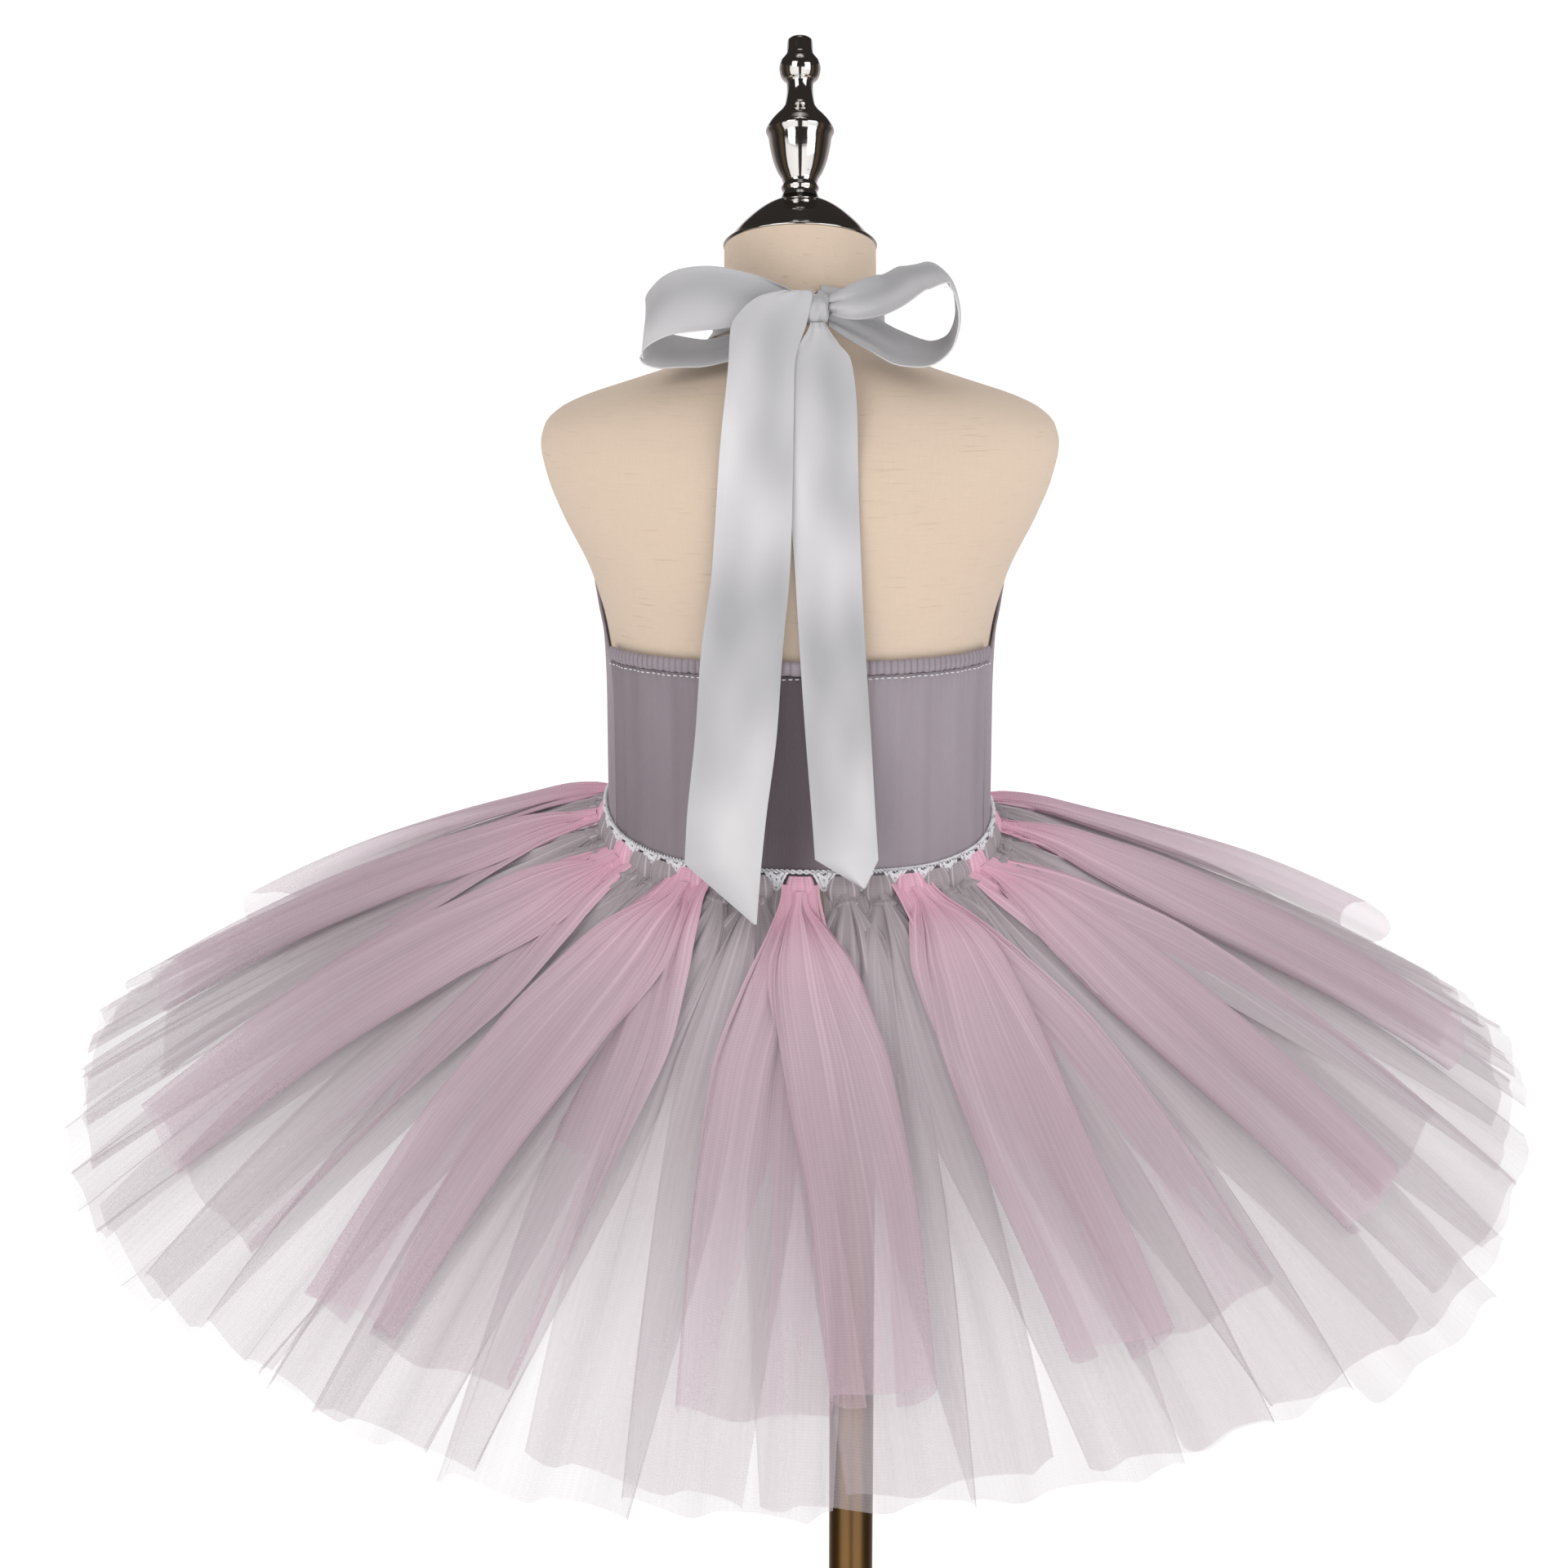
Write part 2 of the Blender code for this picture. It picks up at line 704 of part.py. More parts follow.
def build_bodice_front():
    """The front panel, which narrows between the armholes to the neck."""
    grids = []
    for outside in (True, False):
        grid = []
        for height in FRONT_LEVELS:
            edge = SIDE_SEAM_ANGLE + SEAM_GAP_DEGREES
            if height > BACK_TOP_HEIGHT:
                edge = read(ARMHOLE, height)[0]
            row = []
            for angle in spread(edge, 360.0 - edge, FRONT_COLUMNS):
                bottom = waist_height(angle) - PANEL_BOTTOM_DROP
                level = height
                if height < BACK_TOP_HEIGHT:
                    level = bottom + (BACK_TOP_HEIGHT - bottom) * height / BACK_TOP_HEIGHT
                row.append(knit_point(angle, level, outside))
            grid.append(row)
        grids.append(grid)
    add_wall("bodice_front", grids[0], grids[1], "knit")


def build_casings():
    """The gathered casings of the back panel's top and the front panel's neck."""
    middle = 0.5 * CASING_DEPTH + KNIT_CLEARANCE
    height = BACK_TOP_HEIGHT + GAP + 0.5 * CASING_HEIGHT
    edge = SIDE_SEAM_ANGLE
    centres = []
    for step, angle in enumerate(spread(-edge, edge, 2 * CASING_GATHERS + 1)):
        point = body_point(angle, height, middle)
        outward = Vector((point.x, BACK_FLATNESS * point.y, 0.0)).normalized()
        centres.append((point, outward, 1.0 if step % 2 else CASING_DRAWN_IN))
    add_gathered_tube("back_casing", centres, CASING_DEPTH, CASING_HEIGHT, "knit")

    centres = []
    front = NECK_CASING_HALF_ANGLE
    for step, angle in enumerate(spread(180.0 - front, 180.0 + front, 2 * NECK_CASING_GATHERS + 1)):
        point = body_point(angle, NECK_CASING_HEIGHT, NECK_CASING_CLEARANCE + 0.5 * NECK_CASING_DEPTH)
        outward = Vector((point.x, point.y, 0.0)).normalized()
        centres.append((point, outward, 1.0 if step % 2 else CASING_DRAWN_IN))
    add_gathered_tube("neck_casing", centres, NECK_CASING_DEPTH, NECK_CASING_SIZE, "knit")


def build_lace():
    """A narrow band with a point hanging from it between each two knots."""
    pitch = 360.0 / LACE_TEETH
    half = 0.5 * LACE_TOOTH_WIDTH_SHARE * pitch
    cuts = []
    for tooth in range(LACE_TEETH):
        middle = (tooth + 0.5) * pitch
        cuts += [(middle - half, 0.0), (middle, LACE_TOOTH_LENGTH), (middle + half, 0.0)]
    grids = []
    for offset in (LACE_CLEARANCE + LACE_THICKNESS, LACE_CLEARANCE):
        top = [body_point(angle, waist_height(angle), offset) for angle, _ in cuts]
        bottom = [
            body_point(angle, waist_height(angle) - LACE_CHORD - drop, offset) for angle, drop in cuts
        ]
        grids.append([bottom, top])
    add_wall("waist_lace", grids[0], grids[1], "lace", ring=True)


def skirt_point(angle, along, offset, length):
    """A point on the skirt: along its fall from the waist, and offset above its surface."""
    if along < 0.0:
        return body_point(angle, waist_height(angle) - KNOT_DROP - along, LOOP_OFFSET + offset)
    from_back = folded(angle)
    turn = math.radians(angle)
    fall = math.radians(read(SKIRT_SLOPE, from_back)[0])
    root = body_point(angle, 0.0, KNOT_CENTRE_OFFSET)
    root.z = waist_height(angle) - KNOT_DROP
    outward = Vector((SKIRT_SPREAD_X * math.sin(turn), -SKIRT_SPREAD_Y * math.cos(turn), 0.0)).normalized()
    down = outward * math.cos(fall) - Vector((0.0, 0.0, math.sin(fall)))
    normal = outward * math.sin(fall) + Vector((0.0, 0.0, math.cos(fall)))
    sideways = math.sin(math.radians(min(from_back, 180.0 - from_back)))
    crown = CROWN_BACK + (CROWN_SIDE - CROWN_BACK) * sideways
    rise = crown * math.sin(math.pi * min(along / length, 1.0)) ** CROWN_FULLNESS
    return root + down * along + normal * (offset + rise)


def build_strip(name, root_angle, hem_angle, hem_half, stations, columns, scale, finish_name):
    """One tulle strip: its knot at the waist and its fan out to the hem."""
    full = stations[-1].along
    outer, inner = [], []
    for station in stations:
        centre = root_angle + (hem_angle - root_angle) * station.fanned
        half = 0.5 * KNOT_PITCH + (hem_half - 0.5 * KNOT_PITCH) * station.fanned
        half = (half - EDGE_GAP_DEGREES) * station.width
        lift = getattr(station, "lift", 0.0)
        along = station.along * (scale if station.along > 0.0 else 1.0)
        outer_row, inner_row = [], []
        for across in spread(-1.0, 1.0, columns):
            angle = centre + half * across
            wave = station.wave * math.cos(math.pi * across)
            if lift:
                wave = 0.5 * station.wave * (1.0 + math.cos(math.pi * across))
            bulge = 1.0
            if station.thickness > KNOTTED_ABOVE:
                bulge = 1.0 - KNOT_ROUNDING * across**2
            half_thick = 0.5 * station.thickness * bulge
            outer_row.append(skirt_point(angle, along, lift + wave + half_thick, full))
            inner_row.append(skirt_point(angle, along, lift + wave - half_thick, full))
        outer.append(outer_row)
        inner.append(inner_row)
    add_wall(name, outer, inner, finish_name)


def length_share(number):
    """Strips were cut by hand, so their lengths differ a little."""
    return 1.0 + sum(size * math.sin(rate * number + start) for size, rate, start in LENGTH_WAVES)


def build_skirt():
    """Twelve upper strips and, between each two of them, a pair of lower ones."""
    for pink in range(PINK_COUNT):
        middle = pink * PINK_PITCH
        hem_half = 0.5 * PINK_PITCH * PINK_HEM_SHARE
        scale = length_share(pink + 3)
        build_strip(f"tulle_pink_{pink + 1:02d}", middle, middle, hem_half, PINK_STATIONS,
                    PINK_COLUMNS, scale, "tulle_pink")
        for side in (0, 1):
            grey = 2 * pink + side
            root = middle + KNOT_PITCH * (1 + side)
            hem = middle + GREY_PITCH * (0.5 + side)
            build_strip(f"tulle_grey_{grey + 1:02d}", root, hem, 0.5 * GREY_PITCH, GREY_STATIONS,
                        GREY_COLUMNS, length_share(grey), "tulle_grey")


def band_edges(rows):
    """The two edges of a looped ribbon, read smoothly between its cuts."""
    keyed = [(float(index), *row) for index, row in enumerate(rows)]
    steps = (len(rows) - 1) * LOOP_STEPS
    cuts = []
    for step in range(steps + 1):
        x, out, height, width, lean = read(keyed, step / LOOP_STEPS)
        middle = Vector((x, -out, height))
        tilt = math.radians(lean)
        across = Vector((0.0, math.sin(tilt), math.cos(tilt)))
        cuts.append((middle, across, width))
    edges = []
    for index, (middle, across, width) in enumerate(cuts):
        before, after = cuts[max(index - 1, 0)][0], cuts[min(index + 1, steps)][0]
        along = (after - before).normalized()
        across = (across - along * across.dot(along)).normalized()
        edges.append((middle, across * (0.5 * width), along.cross(across).normalized()))
    return edges


def build_loop(name, rows):
    """One of the bow's loops."""
    outer, inner = [], []
    for middle, half, normal in band_edges(rows):
        outer_row, inner_row = [], []
        for across in spread(-1.0, 1.0, LOOP_COLUMNS):
            cupped = normal * (LOOP_CUP * (1.0 - across**2))
            point = middle + half * across + cupped
            outer_row.append(point + normal * (0.5 * RIBBON_THICKNESS))
            inner_row.append(point - normal * (0.5 * RIBBON_THICKNESS))
        outer.append(outer_row)
        inner.append(inner_row)
    add_wall(name, outer, inner, "satin")


def build_tail(name, rows, tip):
    """A ribbon end that hangs from the bow and is cut on the slant."""
    outer, inner = [], []
    for height, left, right, left_out, right_out in (*rows, tip):
        outer_row, inner_row = [], []
        for across in spread(0.0, 1.0, TAIL_COLUMNS):
            x = left + (right - left) * across
            out = left_out + (right_out - left_out) * across + TAIL_CURL * math.sin(math.pi * across)
            outer_row.append(Vector((x, -(out + 0.5 * RIBBON_THICKNESS), height)))
            inner_row.append(Vector((x, -(out - 0.5 * RIBBON_THICKNESS), height)))
        outer.append(outer_row)
        inner.append(inner_row)
    add_wall(name, outer, inner, "satin")


def build_bow_knot():
    """The bow's knot, with a shallow fold at each second side."""
    rings = []
    for level in spread(-KNOT_END_LEVEL, KNOT_END_LEVEL, KNOT_LEVELS):
        girth = math.sqrt(1.0 - level**4)
        ring = []
        for step in range(KNOT_SIDES):
            turn = 2.0 * math.pi * step / KNOT_SIDES
            reach = girth * (1.0 - KNOT_FOLD * (step % 2))
            x = KNOT_HALF.x * reach * signed_power(math.cos(turn), KNOT_SQUARENESS)
            y = KNOT_HALF.y * reach * signed_power(math.sin(turn), KNOT_SQUARENESS)
            ring.append(Vector((KNOT_X + x, -KNOT_OUT + y, KNOT_HEIGHT + KNOT_HALF.z * level)))
        rings.append(ring)
    add_skin("bow_knot", rings, "satin")


def build_neck_ribbon(name, side):
    """The ribbon from the front casing round one side of the neck to the bow."""
    outer, inner = [], []
    first, last = NECK_RIBBON[0].angle, NECK_RIBBON[-1].angle
    for angle in spread(first, last, NECK_RIBBON_STEPS * (len(NECK_RIBBON) - 1) + 1):
        height, width = read(NECK_RIBBON, angle)
        outer_row, inner_row = [], []
        for across in NECK_RIBBON_COLUMNS:
            at_edge = abs(across) == NECK_RIBBON_COLUMNS[-1]
            level = height + width * across
            clearance = NECK_RIBBON_CLEARANCE + (0.0 if at_edge else NECK_RIBBON_FOLD)
            outer_row.append(body_point(side * angle, level, clearance + RIBBON_THICKNESS))
            inner_row.append(body_point(side * angle, level, clearance))
        outer.append(outer_row)
        inner.append(inner_row)
    add_wall(name, outer, inner, "satin")


def clear_scene():
    """Removes what the empty file starts with."""
    for existing in list(bpy.data.objects):
        bpy.data.objects.remove(existing, do_unlink=True)


def main():
    """Builds every piece."""
    clear_scene()
    build_form()
    build_cap_and_finial()
    build_stand()
    build_bodice_back()
    build_bodice_front()
    build_casings()
    build_lace()
    build_skirt()
    build_bow_knot()
    build_loop("bow_loop_left", LEFT_LOOP)
    build_loop("bow_loop_right", RIGHT_LOOP)
    build_tail("ribbon_tail_left", LEFT_TAIL, LEFT_TAIL_TIP)
    build_tail("ribbon_tail_right", RIGHT_TAIL, RIGHT_TAIL_TIP)
    build_neck_ribbon("ribbon_neck_left", -1.0)
    build_neck_ribbon("ribbon_neck_right", 1.0)


main()
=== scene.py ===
"""Looks of a child's halter tutu dress on a limbless dress form with a pole stand.

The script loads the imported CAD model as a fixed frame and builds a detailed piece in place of
each of its nodes. The dress's back, with its bow, faces -Y. Shapes are worked out in
millimetres from the dress's waist level, and an angle round the body is 0 at the middle of
the back and grows towards +X.
"""

import logging
import math
import random
from bisect import bisect_right
from collections.abc import Callable, Sequence
from dataclasses import dataclass, field
from enum import Enum

import bpy
import numpy as np
from mathutils import Matrix, Vector


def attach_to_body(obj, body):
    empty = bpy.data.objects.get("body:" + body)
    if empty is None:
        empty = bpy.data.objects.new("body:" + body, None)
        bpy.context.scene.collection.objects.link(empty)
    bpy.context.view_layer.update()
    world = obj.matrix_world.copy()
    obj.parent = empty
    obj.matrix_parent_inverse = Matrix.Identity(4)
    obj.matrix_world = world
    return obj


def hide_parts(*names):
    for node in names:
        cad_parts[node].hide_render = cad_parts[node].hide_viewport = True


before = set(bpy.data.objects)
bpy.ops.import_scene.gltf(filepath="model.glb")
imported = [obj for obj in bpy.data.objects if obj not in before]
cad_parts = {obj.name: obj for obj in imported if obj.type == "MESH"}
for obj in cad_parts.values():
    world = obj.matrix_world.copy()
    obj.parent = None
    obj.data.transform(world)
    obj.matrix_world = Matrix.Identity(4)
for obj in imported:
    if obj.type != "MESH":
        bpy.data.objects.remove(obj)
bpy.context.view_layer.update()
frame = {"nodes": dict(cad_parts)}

LOG = logging.getLogger("tutu_dress")
MM = 0.001
WAIST_HEIGHT = 620.0
BODY_FROM_BOX_MIDDLE = (-2.3, -6.1)
Colour = tuple[float, float, float]
Table = tuple[tuple[float, ...], ...]


class Slot(Enum):
    """The record's material slots."""

    KNIT = "knit"
    LACE = "lace"
    SATIN = "satin"
    TULLE_GREY = "tulle_grey"
    TULLE_PINK = "tulle_pink"
    LINEN = "linen"
    CHROME = "chrome"
    STEEL = "steel"


def read(rows: Sequence[Sequence[float]], at: float) -> list[float]:
    """Reads a table's columns after the first, smoothly, at a value of the first.

    Args:
        rows: The table, with its first column rising.
        at: The value of the first column.

    Returns:
        The other columns' values. The slopes are harmonic means, so nothing overshoots.
    """
    keys = [row[0] for row in rows]
    at = min(max(at, keys[0]), keys[-1])
    low = min(bisect_right(keys, at), len(keys) - 1) - 1
    span = keys[low + 1] - keys[low]
    t = (at - keys[low]) / span

    def rise(index: int, column: int) -> float:
        """The slope between a row and the next."""
        return (rows[index + 1][column] - rows[index][column]) / (keys[index + 1] - keys[index])

    def slope(index: int, column: int) -> float:
        """The slope at a row."""
        if index in (0, len(keys) - 1):
            return rise(min(index, len(keys) - 2), column)
        before, after = rise(index - 1, column), rise(index, column)
        if before * after <= 0.0:
            return 0.0
        return 2.0 * before * after / (before + after)

    values = []
    for column in range(1, len(rows[0])):
        start, end = rows[low][column], rows[low + 1][column]
        into, out_of = slope(low, column) * span, slope(low + 1, column) * span
        values.append(
            (2 * t**3 - 3 * t**2 + 1) * start
            + (t**3 - 2 * t**2 + t) * into
            + (3 * t**2 - 2 * t**3) * end
            + (t**3 - t**2) * out_of
        )
    return values


def column_of(rows: Sequence[Sequence[float]], at: np.ndarray, column: int = 0) -> np.ndarray:
    """Reads one column of a table at many values.

    Args:
        rows: The table.
        at: The values of its first column.
        column: Which of the other columns to read.

    Returns:
        The column's values.
    """
    return np.array([read(rows, float(value))[column] for value in at])


def signed_power(value: float, power: float) -> float:
    """A power that keeps its base's sign."""
    return math.copysign(abs(value) ** power, value)


def folded(angle: float) -> float:
    """The angle from the back, whichever way round."""
    return abs((angle + 180.0) % 360.0 - 180.0)


def along_rows(rows: Sequence[Sequence[float]], steps: int) -> list[list[float]]:
    """Reads all of a table's columns at even steps from its first row to its last."""
    keyed = [(float(index), *row) for index, row in enumerate(rows)]
    return [read(keyed, at) for at in np.linspace(0.0, len(rows) - 1.0, steps)]


def grid_of(
    rows: Sequence[float], columns: Sequence[float], spot: Callable[[float, float], Sequence[float]]
) -> np.ndarray:
    """The points that a function gives for each row and column."""
    return np.array([[spot(row, column) for column in columns] for row in rows])


def tube(
    centres: np.ndarray, aside: np.ndarray, above: np.ndarray, radii: np.ndarray, sides: int
) -> np.ndarray:
    """A round tube's grid.

    Args:
        centres: Its middle line, a point a row.
        aside: The direction that its sides are counted from, one in all or one a row.
        above: The direction a quarter turn on.
        radii: Its radius, one in all or one a row.
        sides: How many sides it has.

    Returns:
        The grid, a row for each centre.
    """
    turns = 2.0 * np.pi * np.arange(sides) / sides
    wall = aside[:, None] * np.cos(turns)[:, None] + above[:, None] * np.sin(turns)[:, None]
    return centres[:, None] + wall * radii[:, None, None]


def lumpy(values: np.ndarray, seed: float) -> np.ndarray:
    """A soft irregular wave from -1 to 1, the same each run.

    Args:
        values: Where to read it, in turns of its main wave.
        seed: A number that shifts its parts against each other.

    Returns:
        The wave.
    """
    main = np.sin(2.0 * np.pi * values + seed)
    slow = np.sin(2.0 * np.pi * values * 0.37 + 2.3 * seed + 1.0)
    quick = np.sin(2.0 * np.pi * values * 1.83 + 1.7 * seed + 2.0)
    return 0.5 * main + 0.3 * slow + 0.2 * quick


@dataclass(frozen=True)
class Body:
    """The form's shape and the dress's waist on it, as the CAD model has them.

    A row of sections is a level cut: height, half width, half depth and squareness. A row of
    waist is an angle from the back and the seam's height there.
    """

    sections: Table = (
        (-95, 107, 82, 2.3), (-60, 104, 79, 2.3), (-30, 101.5, 76, 2.3), (0, 101, 75, 2.3),
        (50, 101, 77, 2.3), (83, 102, 78, 2.35), (116, 110, 79, 2.4), (150, 126, 77, 2.5),
        (168, 133, 74.5, 2.55), (186, 136.5, 70, 2.6), (196, 134, 66, 2.6), (203, 127, 63, 2.55),
        (209, 115, 60, 2.5), (217, 91, 56, 2.4), (225, 67, 52, 2.25), (233, 50, 47, 2.1),
        (243, 43, 43, 2), (262, 40, 40.5, 2), (286, 39.5, 38.5, 2),
    )
    waist: Table = (
        (0, -28), (30, -27), (60, -21), (80, -12.5), (95, -6.5), (120, -3), (180, -2),
    )
    waist_tilt: float = 3.0
    neck_tilt: float = math.radians(19.5)
    neck_top: float = 286.0
    tilt_starts: float = 233.0

    def skin(self, angle: float, height: float) -> Vector:
        """A point on the form's skin."""
        half_width, half_depth, squareness = read(self.sections, height)
        turn = math.radians(angle)
        power = 2.0 / squareness
        x = half_width * signed_power(math.sin(turn), power)
        y = -half_depth * signed_power(math.cos(turn), power)
        rise = (height - self.tilt_starts) / (self.neck_top - self.tilt_starts)
        tilt = math.tan(self.neck_tilt) * min(max(rise, 0.0), 1.0) ** 1.5
        return Vector((x, y, height - y * tilt))

    def normal(self, angle: float, height: float) -> Vector:
        """The direction square to the skin, outwards."""
        around = self.skin(angle + 1.5, height) - self.skin(angle - 1.5, height)
        upwards = self.skin(angle, height + 2.0) - self.skin(angle, height - 2.0)
        return around.cross(upwards).normalized()

    def point(self, angle: float, height: float, offset: float) -> Vector:
        """A point that lies offset outside the skin, square to it."""
        return self.skin(angle, height) + self.normal(angle, height) * offset

    def waist_height(self, angle: float) -> float:
        """The waist seam's height: it dips at the back and tilts a little to one side."""
        return read(self.waist, folded(angle))[0] - self.waist_tilt * math.sin(math.radians(angle))


def placed(points: np.ndarray) -> np.ndarray:
    """Points of the tables, in millimetres, as places in the part, in metres."""
    aside, back = BODY_FROM_BOX_MIDDLE
    return (points + np.array([aside, back, WAIST_HEIGHT])) * MM


def new_object(name: str, data: bpy.types.ID) -> bpy.types.Object:
    """A new object in the scene."""
    made = bpy.data.objects.new(name, data)
    bpy.context.scene.collection.objects.link(made)
    return made


@dataclass
class Patchwork:
    """Grids of points that become one mesh, with their cloth coordinates and attributes.

    A cloth coordinate is a place on the flat cut, in metres, so weave keeps its real scale.
    """

    name: str
    points: list[np.ndarray] = field(default_factory=list)
    faces: list[np.ndarray] = field(default_factory=list)
    cloth: list[np.ndarray] = field(default_factory=list)
    traits: dict[str, list[np.ndarray]] = field(default_factory=dict)
    count: int = 0

    def add(
        self,
        grid: np.ndarray,
        closed: bool = False,
        cloth: tuple[np.ndarray, np.ndarray] | None = None,
        traits: dict[str, np.ndarray] | None = None,
        turned: bool = False,
    ) -> None:
        """Adds a grid.

        Args:
            grid: Rows by columns by three, in millimetres.
            closed: Whether the last column joins the first.
            cloth: Across and along on the flat cut, in metres, one column more if closed.
            traits: Named values at each point.
            turned: Whether the faces look the other way.
        """
        rows, columns = grid.shape[:2]
        steps = columns if closed else columns - 1
        row, column = np.meshgrid(np.arange(rows - 1), np.arange(steps), indexing="ij")
        after = (column + 1) % columns
        low, high = row * columns, (row + 1) * columns
        faces = np.stack([low + column, low + after, high + after, high + column], axis=-1)
        if cloth is None:
            cloth = self.measured(grid, closed)
        across, along = cloth
        corner = np.stack([across, along], axis=-1)
        corners = ((row, column), (row, column + 1), (row + 1, column + 1), (row + 1, column))
        loops = np.stack([corner[place] for place in corners], axis=2)
        if turned:
            faces, loops = faces[..., ::-1], loops[..., ::-1, :]
        self.points.append(placed(grid.reshape(-1, 3)))
        self.faces.append(faces.reshape(-1, 4) + self.count)
        self.cloth.append(loops.reshape(-1, 2))
        for trait, values in (traits or {}).items():
            self.traits.setdefault(trait, []).append(values.reshape(-1))
        self.count += rows * columns

    @staticmethod
    def measured(grid: np.ndarray, closed: bool) -> tuple[np.ndarray, np.ndarray]:
        """Cloth coordinates from the grid's own lengths, in metres."""
        wide = np.concatenate([grid, grid[:, :1]], axis=1) if closed else grid
        across = np.linalg.norm(np.diff(wide, axis=1), axis=-1).mean(axis=0)
        along = np.linalg.norm(np.diff(grid, axis=0), axis=-1).mean(axis=1)
        u = np.concatenate([[0.0], np.cumsum(across)]) * MM
        v = np.concatenate([[0.0], np.cumsum(along)]) * MM
        return tuple(np.meshgrid(u, v))

    def make(self, finish: bpy.types.Material, sharp: float = 60.0) -> bpy.types.Object:
        """The finished object, with its place in its mesh.

        Args:
            finish: Its material.
            sharp: The angle past which an edge isn't shaded round, in degrees.

        Returns:
            The object, linked to the scene.
        """
        mesh = bpy.data.meshes.new(self.name)
        points, faces = np.concatenate(self.points), np.concatenate(self.faces)
        mesh.from_pydata(points.tolist(), [], faces.tolist())
        layer = mesh.uv_layers.new(name="cloth")
        layer.data.foreach_set("uv", np.concatenate(self.cloth).astype(np.float32).ravel())
        for trait, values in self.traits.items():
            attribute = mesh.attributes.new(trait, "FLOAT", "POINT")
            attribute.data.foreach_set("value", np.concatenate(values).astype(np.float32))
        mesh.shade_smooth()
        mesh.set_sharp_from_angle(angle=math.radians(sharp))
        mesh.materials.append(finish)
        return new_object(self.name, mesh)


def one_grid(
    name: str, grid: np.ndarray, finish: bpy.types.Material, sharp: float = 60.0, **how: object
) -> bpy.types.Object:
    """Makes an object from one grid.

    Args:
        name: The object's name.
        grid: Its points, in millimetres.
        finish: Its material.
        sharp: The angle past which an edge isn't shaded round, in degrees.
        how: The grid's other settings, as Patchwork.add takes them.

    Returns:
        The object.
    """
    work = Patchwork(name)
    work.add(grid, **how)
    return work.make(finish, sharp)


def area_of(piece: bpy.types.Object) -> float:
    """The piece's area in square metres."""
    return sum(polygon.area for polygon in piece.data.polygons)


def thicken(piece: bpy.types.Object, thickness: float, offset: float = -1.0) -> None:
    """Gives a sheet a wall with Solidify.

    Args:
        piece: The sheet.
        thickness: The wall, in millimetres.
        offset: The side it grows on, from -1 behind the sheet's faces to 1 before them.
    """
    wall = piece.modifiers.new("wall", "SOLIDIFY")
    wall.thickness = thickness * MM
    wall.offset = offset
    wall.use_even_offset = False


def attach(piece: bpy.types.Object, slot: Slot, nodes: Sequence[str] = ()) -> bpy.types.Object:
    """Makes a piece ride on the part and hides the nodes that it stands for.

    Args:
        piece: The piece.
        slot: The record's material slot; not used.
        nodes: The CAD nodes that it replaces.

    Returns:
        The piece.
    """
    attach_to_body(piece, "root")
    if nodes:
        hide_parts(*nodes)
    faces = len(piece.data.polygons)
    LOG.info("%s: %d faces, stands for %s", piece.name, faces, list(nodes) or "trim")
    return piece


class Wire:
    """A shader socket that does sums: an expression on it adds its Math nodes."""

    def __init__(self, shop: "Shop", socket: bpy.types.NodeSocket) -> None:
        """Wraps a socket of a shop's tree."""
        self.shop = shop
        self.socket = socket

    def __add__(self, other: "Wire | float") -> "Wire":
        """Sum."""
        return self.shop.maths("ADD", self, other)

    def __radd__(self, other: float) -> "Wire":
        """Sum from the right."""
        return self.shop.maths("ADD", other, self)

    def __sub__(self, other: "Wire | float") -> "Wire":
        """Difference."""
        return self.shop.maths("SUBTRACT", self, other)

    def __mul__(self, other: "Wire | float") -> "Wire":
        """Product."""
        return self.shop.maths("MULTIPLY", self, other)


class Shop:
    """Adds nodes to one tree."""

    def __init__(self, tree: bpy.types.NodeTree) -> None:
        """Starts on a tree."""
        self.tree = tree

    def node(self, kind: str, settings: dict | None = None, sockets: dict | None = None) -> bpy.types.Node:
        """Adds a node.

        Args:
            kind: The node's type.
            settings: Its own settings, which are set first. "stops" are a smooth ramp's.
            sockets: Values or links by the name or the number of an input.

        Returns:
            The node.
        """
        made = self.tree.nodes.new(kind)
        for name, value in (settings or {}).items():
            if name == "stops":
                made.color_ramp.interpolation = "EASE"
                while len(made.color_ramp.elements) < len(value):
                    made.color_ramp.elements.new(0.5)
                for element, (position, colour) in zip(made.color_ramp.elements, value):
                    element.position = position
                    element.color = (*colour, 1.0)
            else:
                setattr(made, name, value)
        for name, value in (sockets or {}).items():
            self.feed(made.inputs[name], value)
        return made

    def feed(self, socket: bpy.types.NodeSocket, value: object) -> None:
        """Links a socket or sets its value."""
        if isinstance(value, Wire):
            self.tree.links.new(value.socket, socket)
        elif isinstance(value, bpy.types.NodeSocket):
            self.tree.links.new(value, socket)
        else:
            socket.default_value = value

    def wire(
        self, kind: str, settings: dict | None = None, sockets: dict | None = None, output: int | str = 0
    ) -> Wire:
        """One output of a new node, which is made as node() makes it."""
        return Wire(self, self.node(kind, settings, sockets).outputs[output])

    def maths(self, operation: str, *values: "Wire | float", clamp: bool = False) -> Wire:
        """A Math node on wires and numbers."""
        settings = {"operation": operation, "use_clamp": clamp}
        return self.wire("ShaderNodeMath", settings, dict(enumerate(values)))

    def blend(self, share: "Wire | float", first: "Wire | Colour", second: "Wire | Colour") -> Wire:
        """Two colours mixed."""
        colours = [value if isinstance(value, Wire) else (*value, 1.0) for value in (first, second)]
        sockets = {0: share, 6: colours[0], 7: colours[1]}
        return self.wire("ShaderNodeMix", {"data_type": "RGBA"}, sockets, 2)


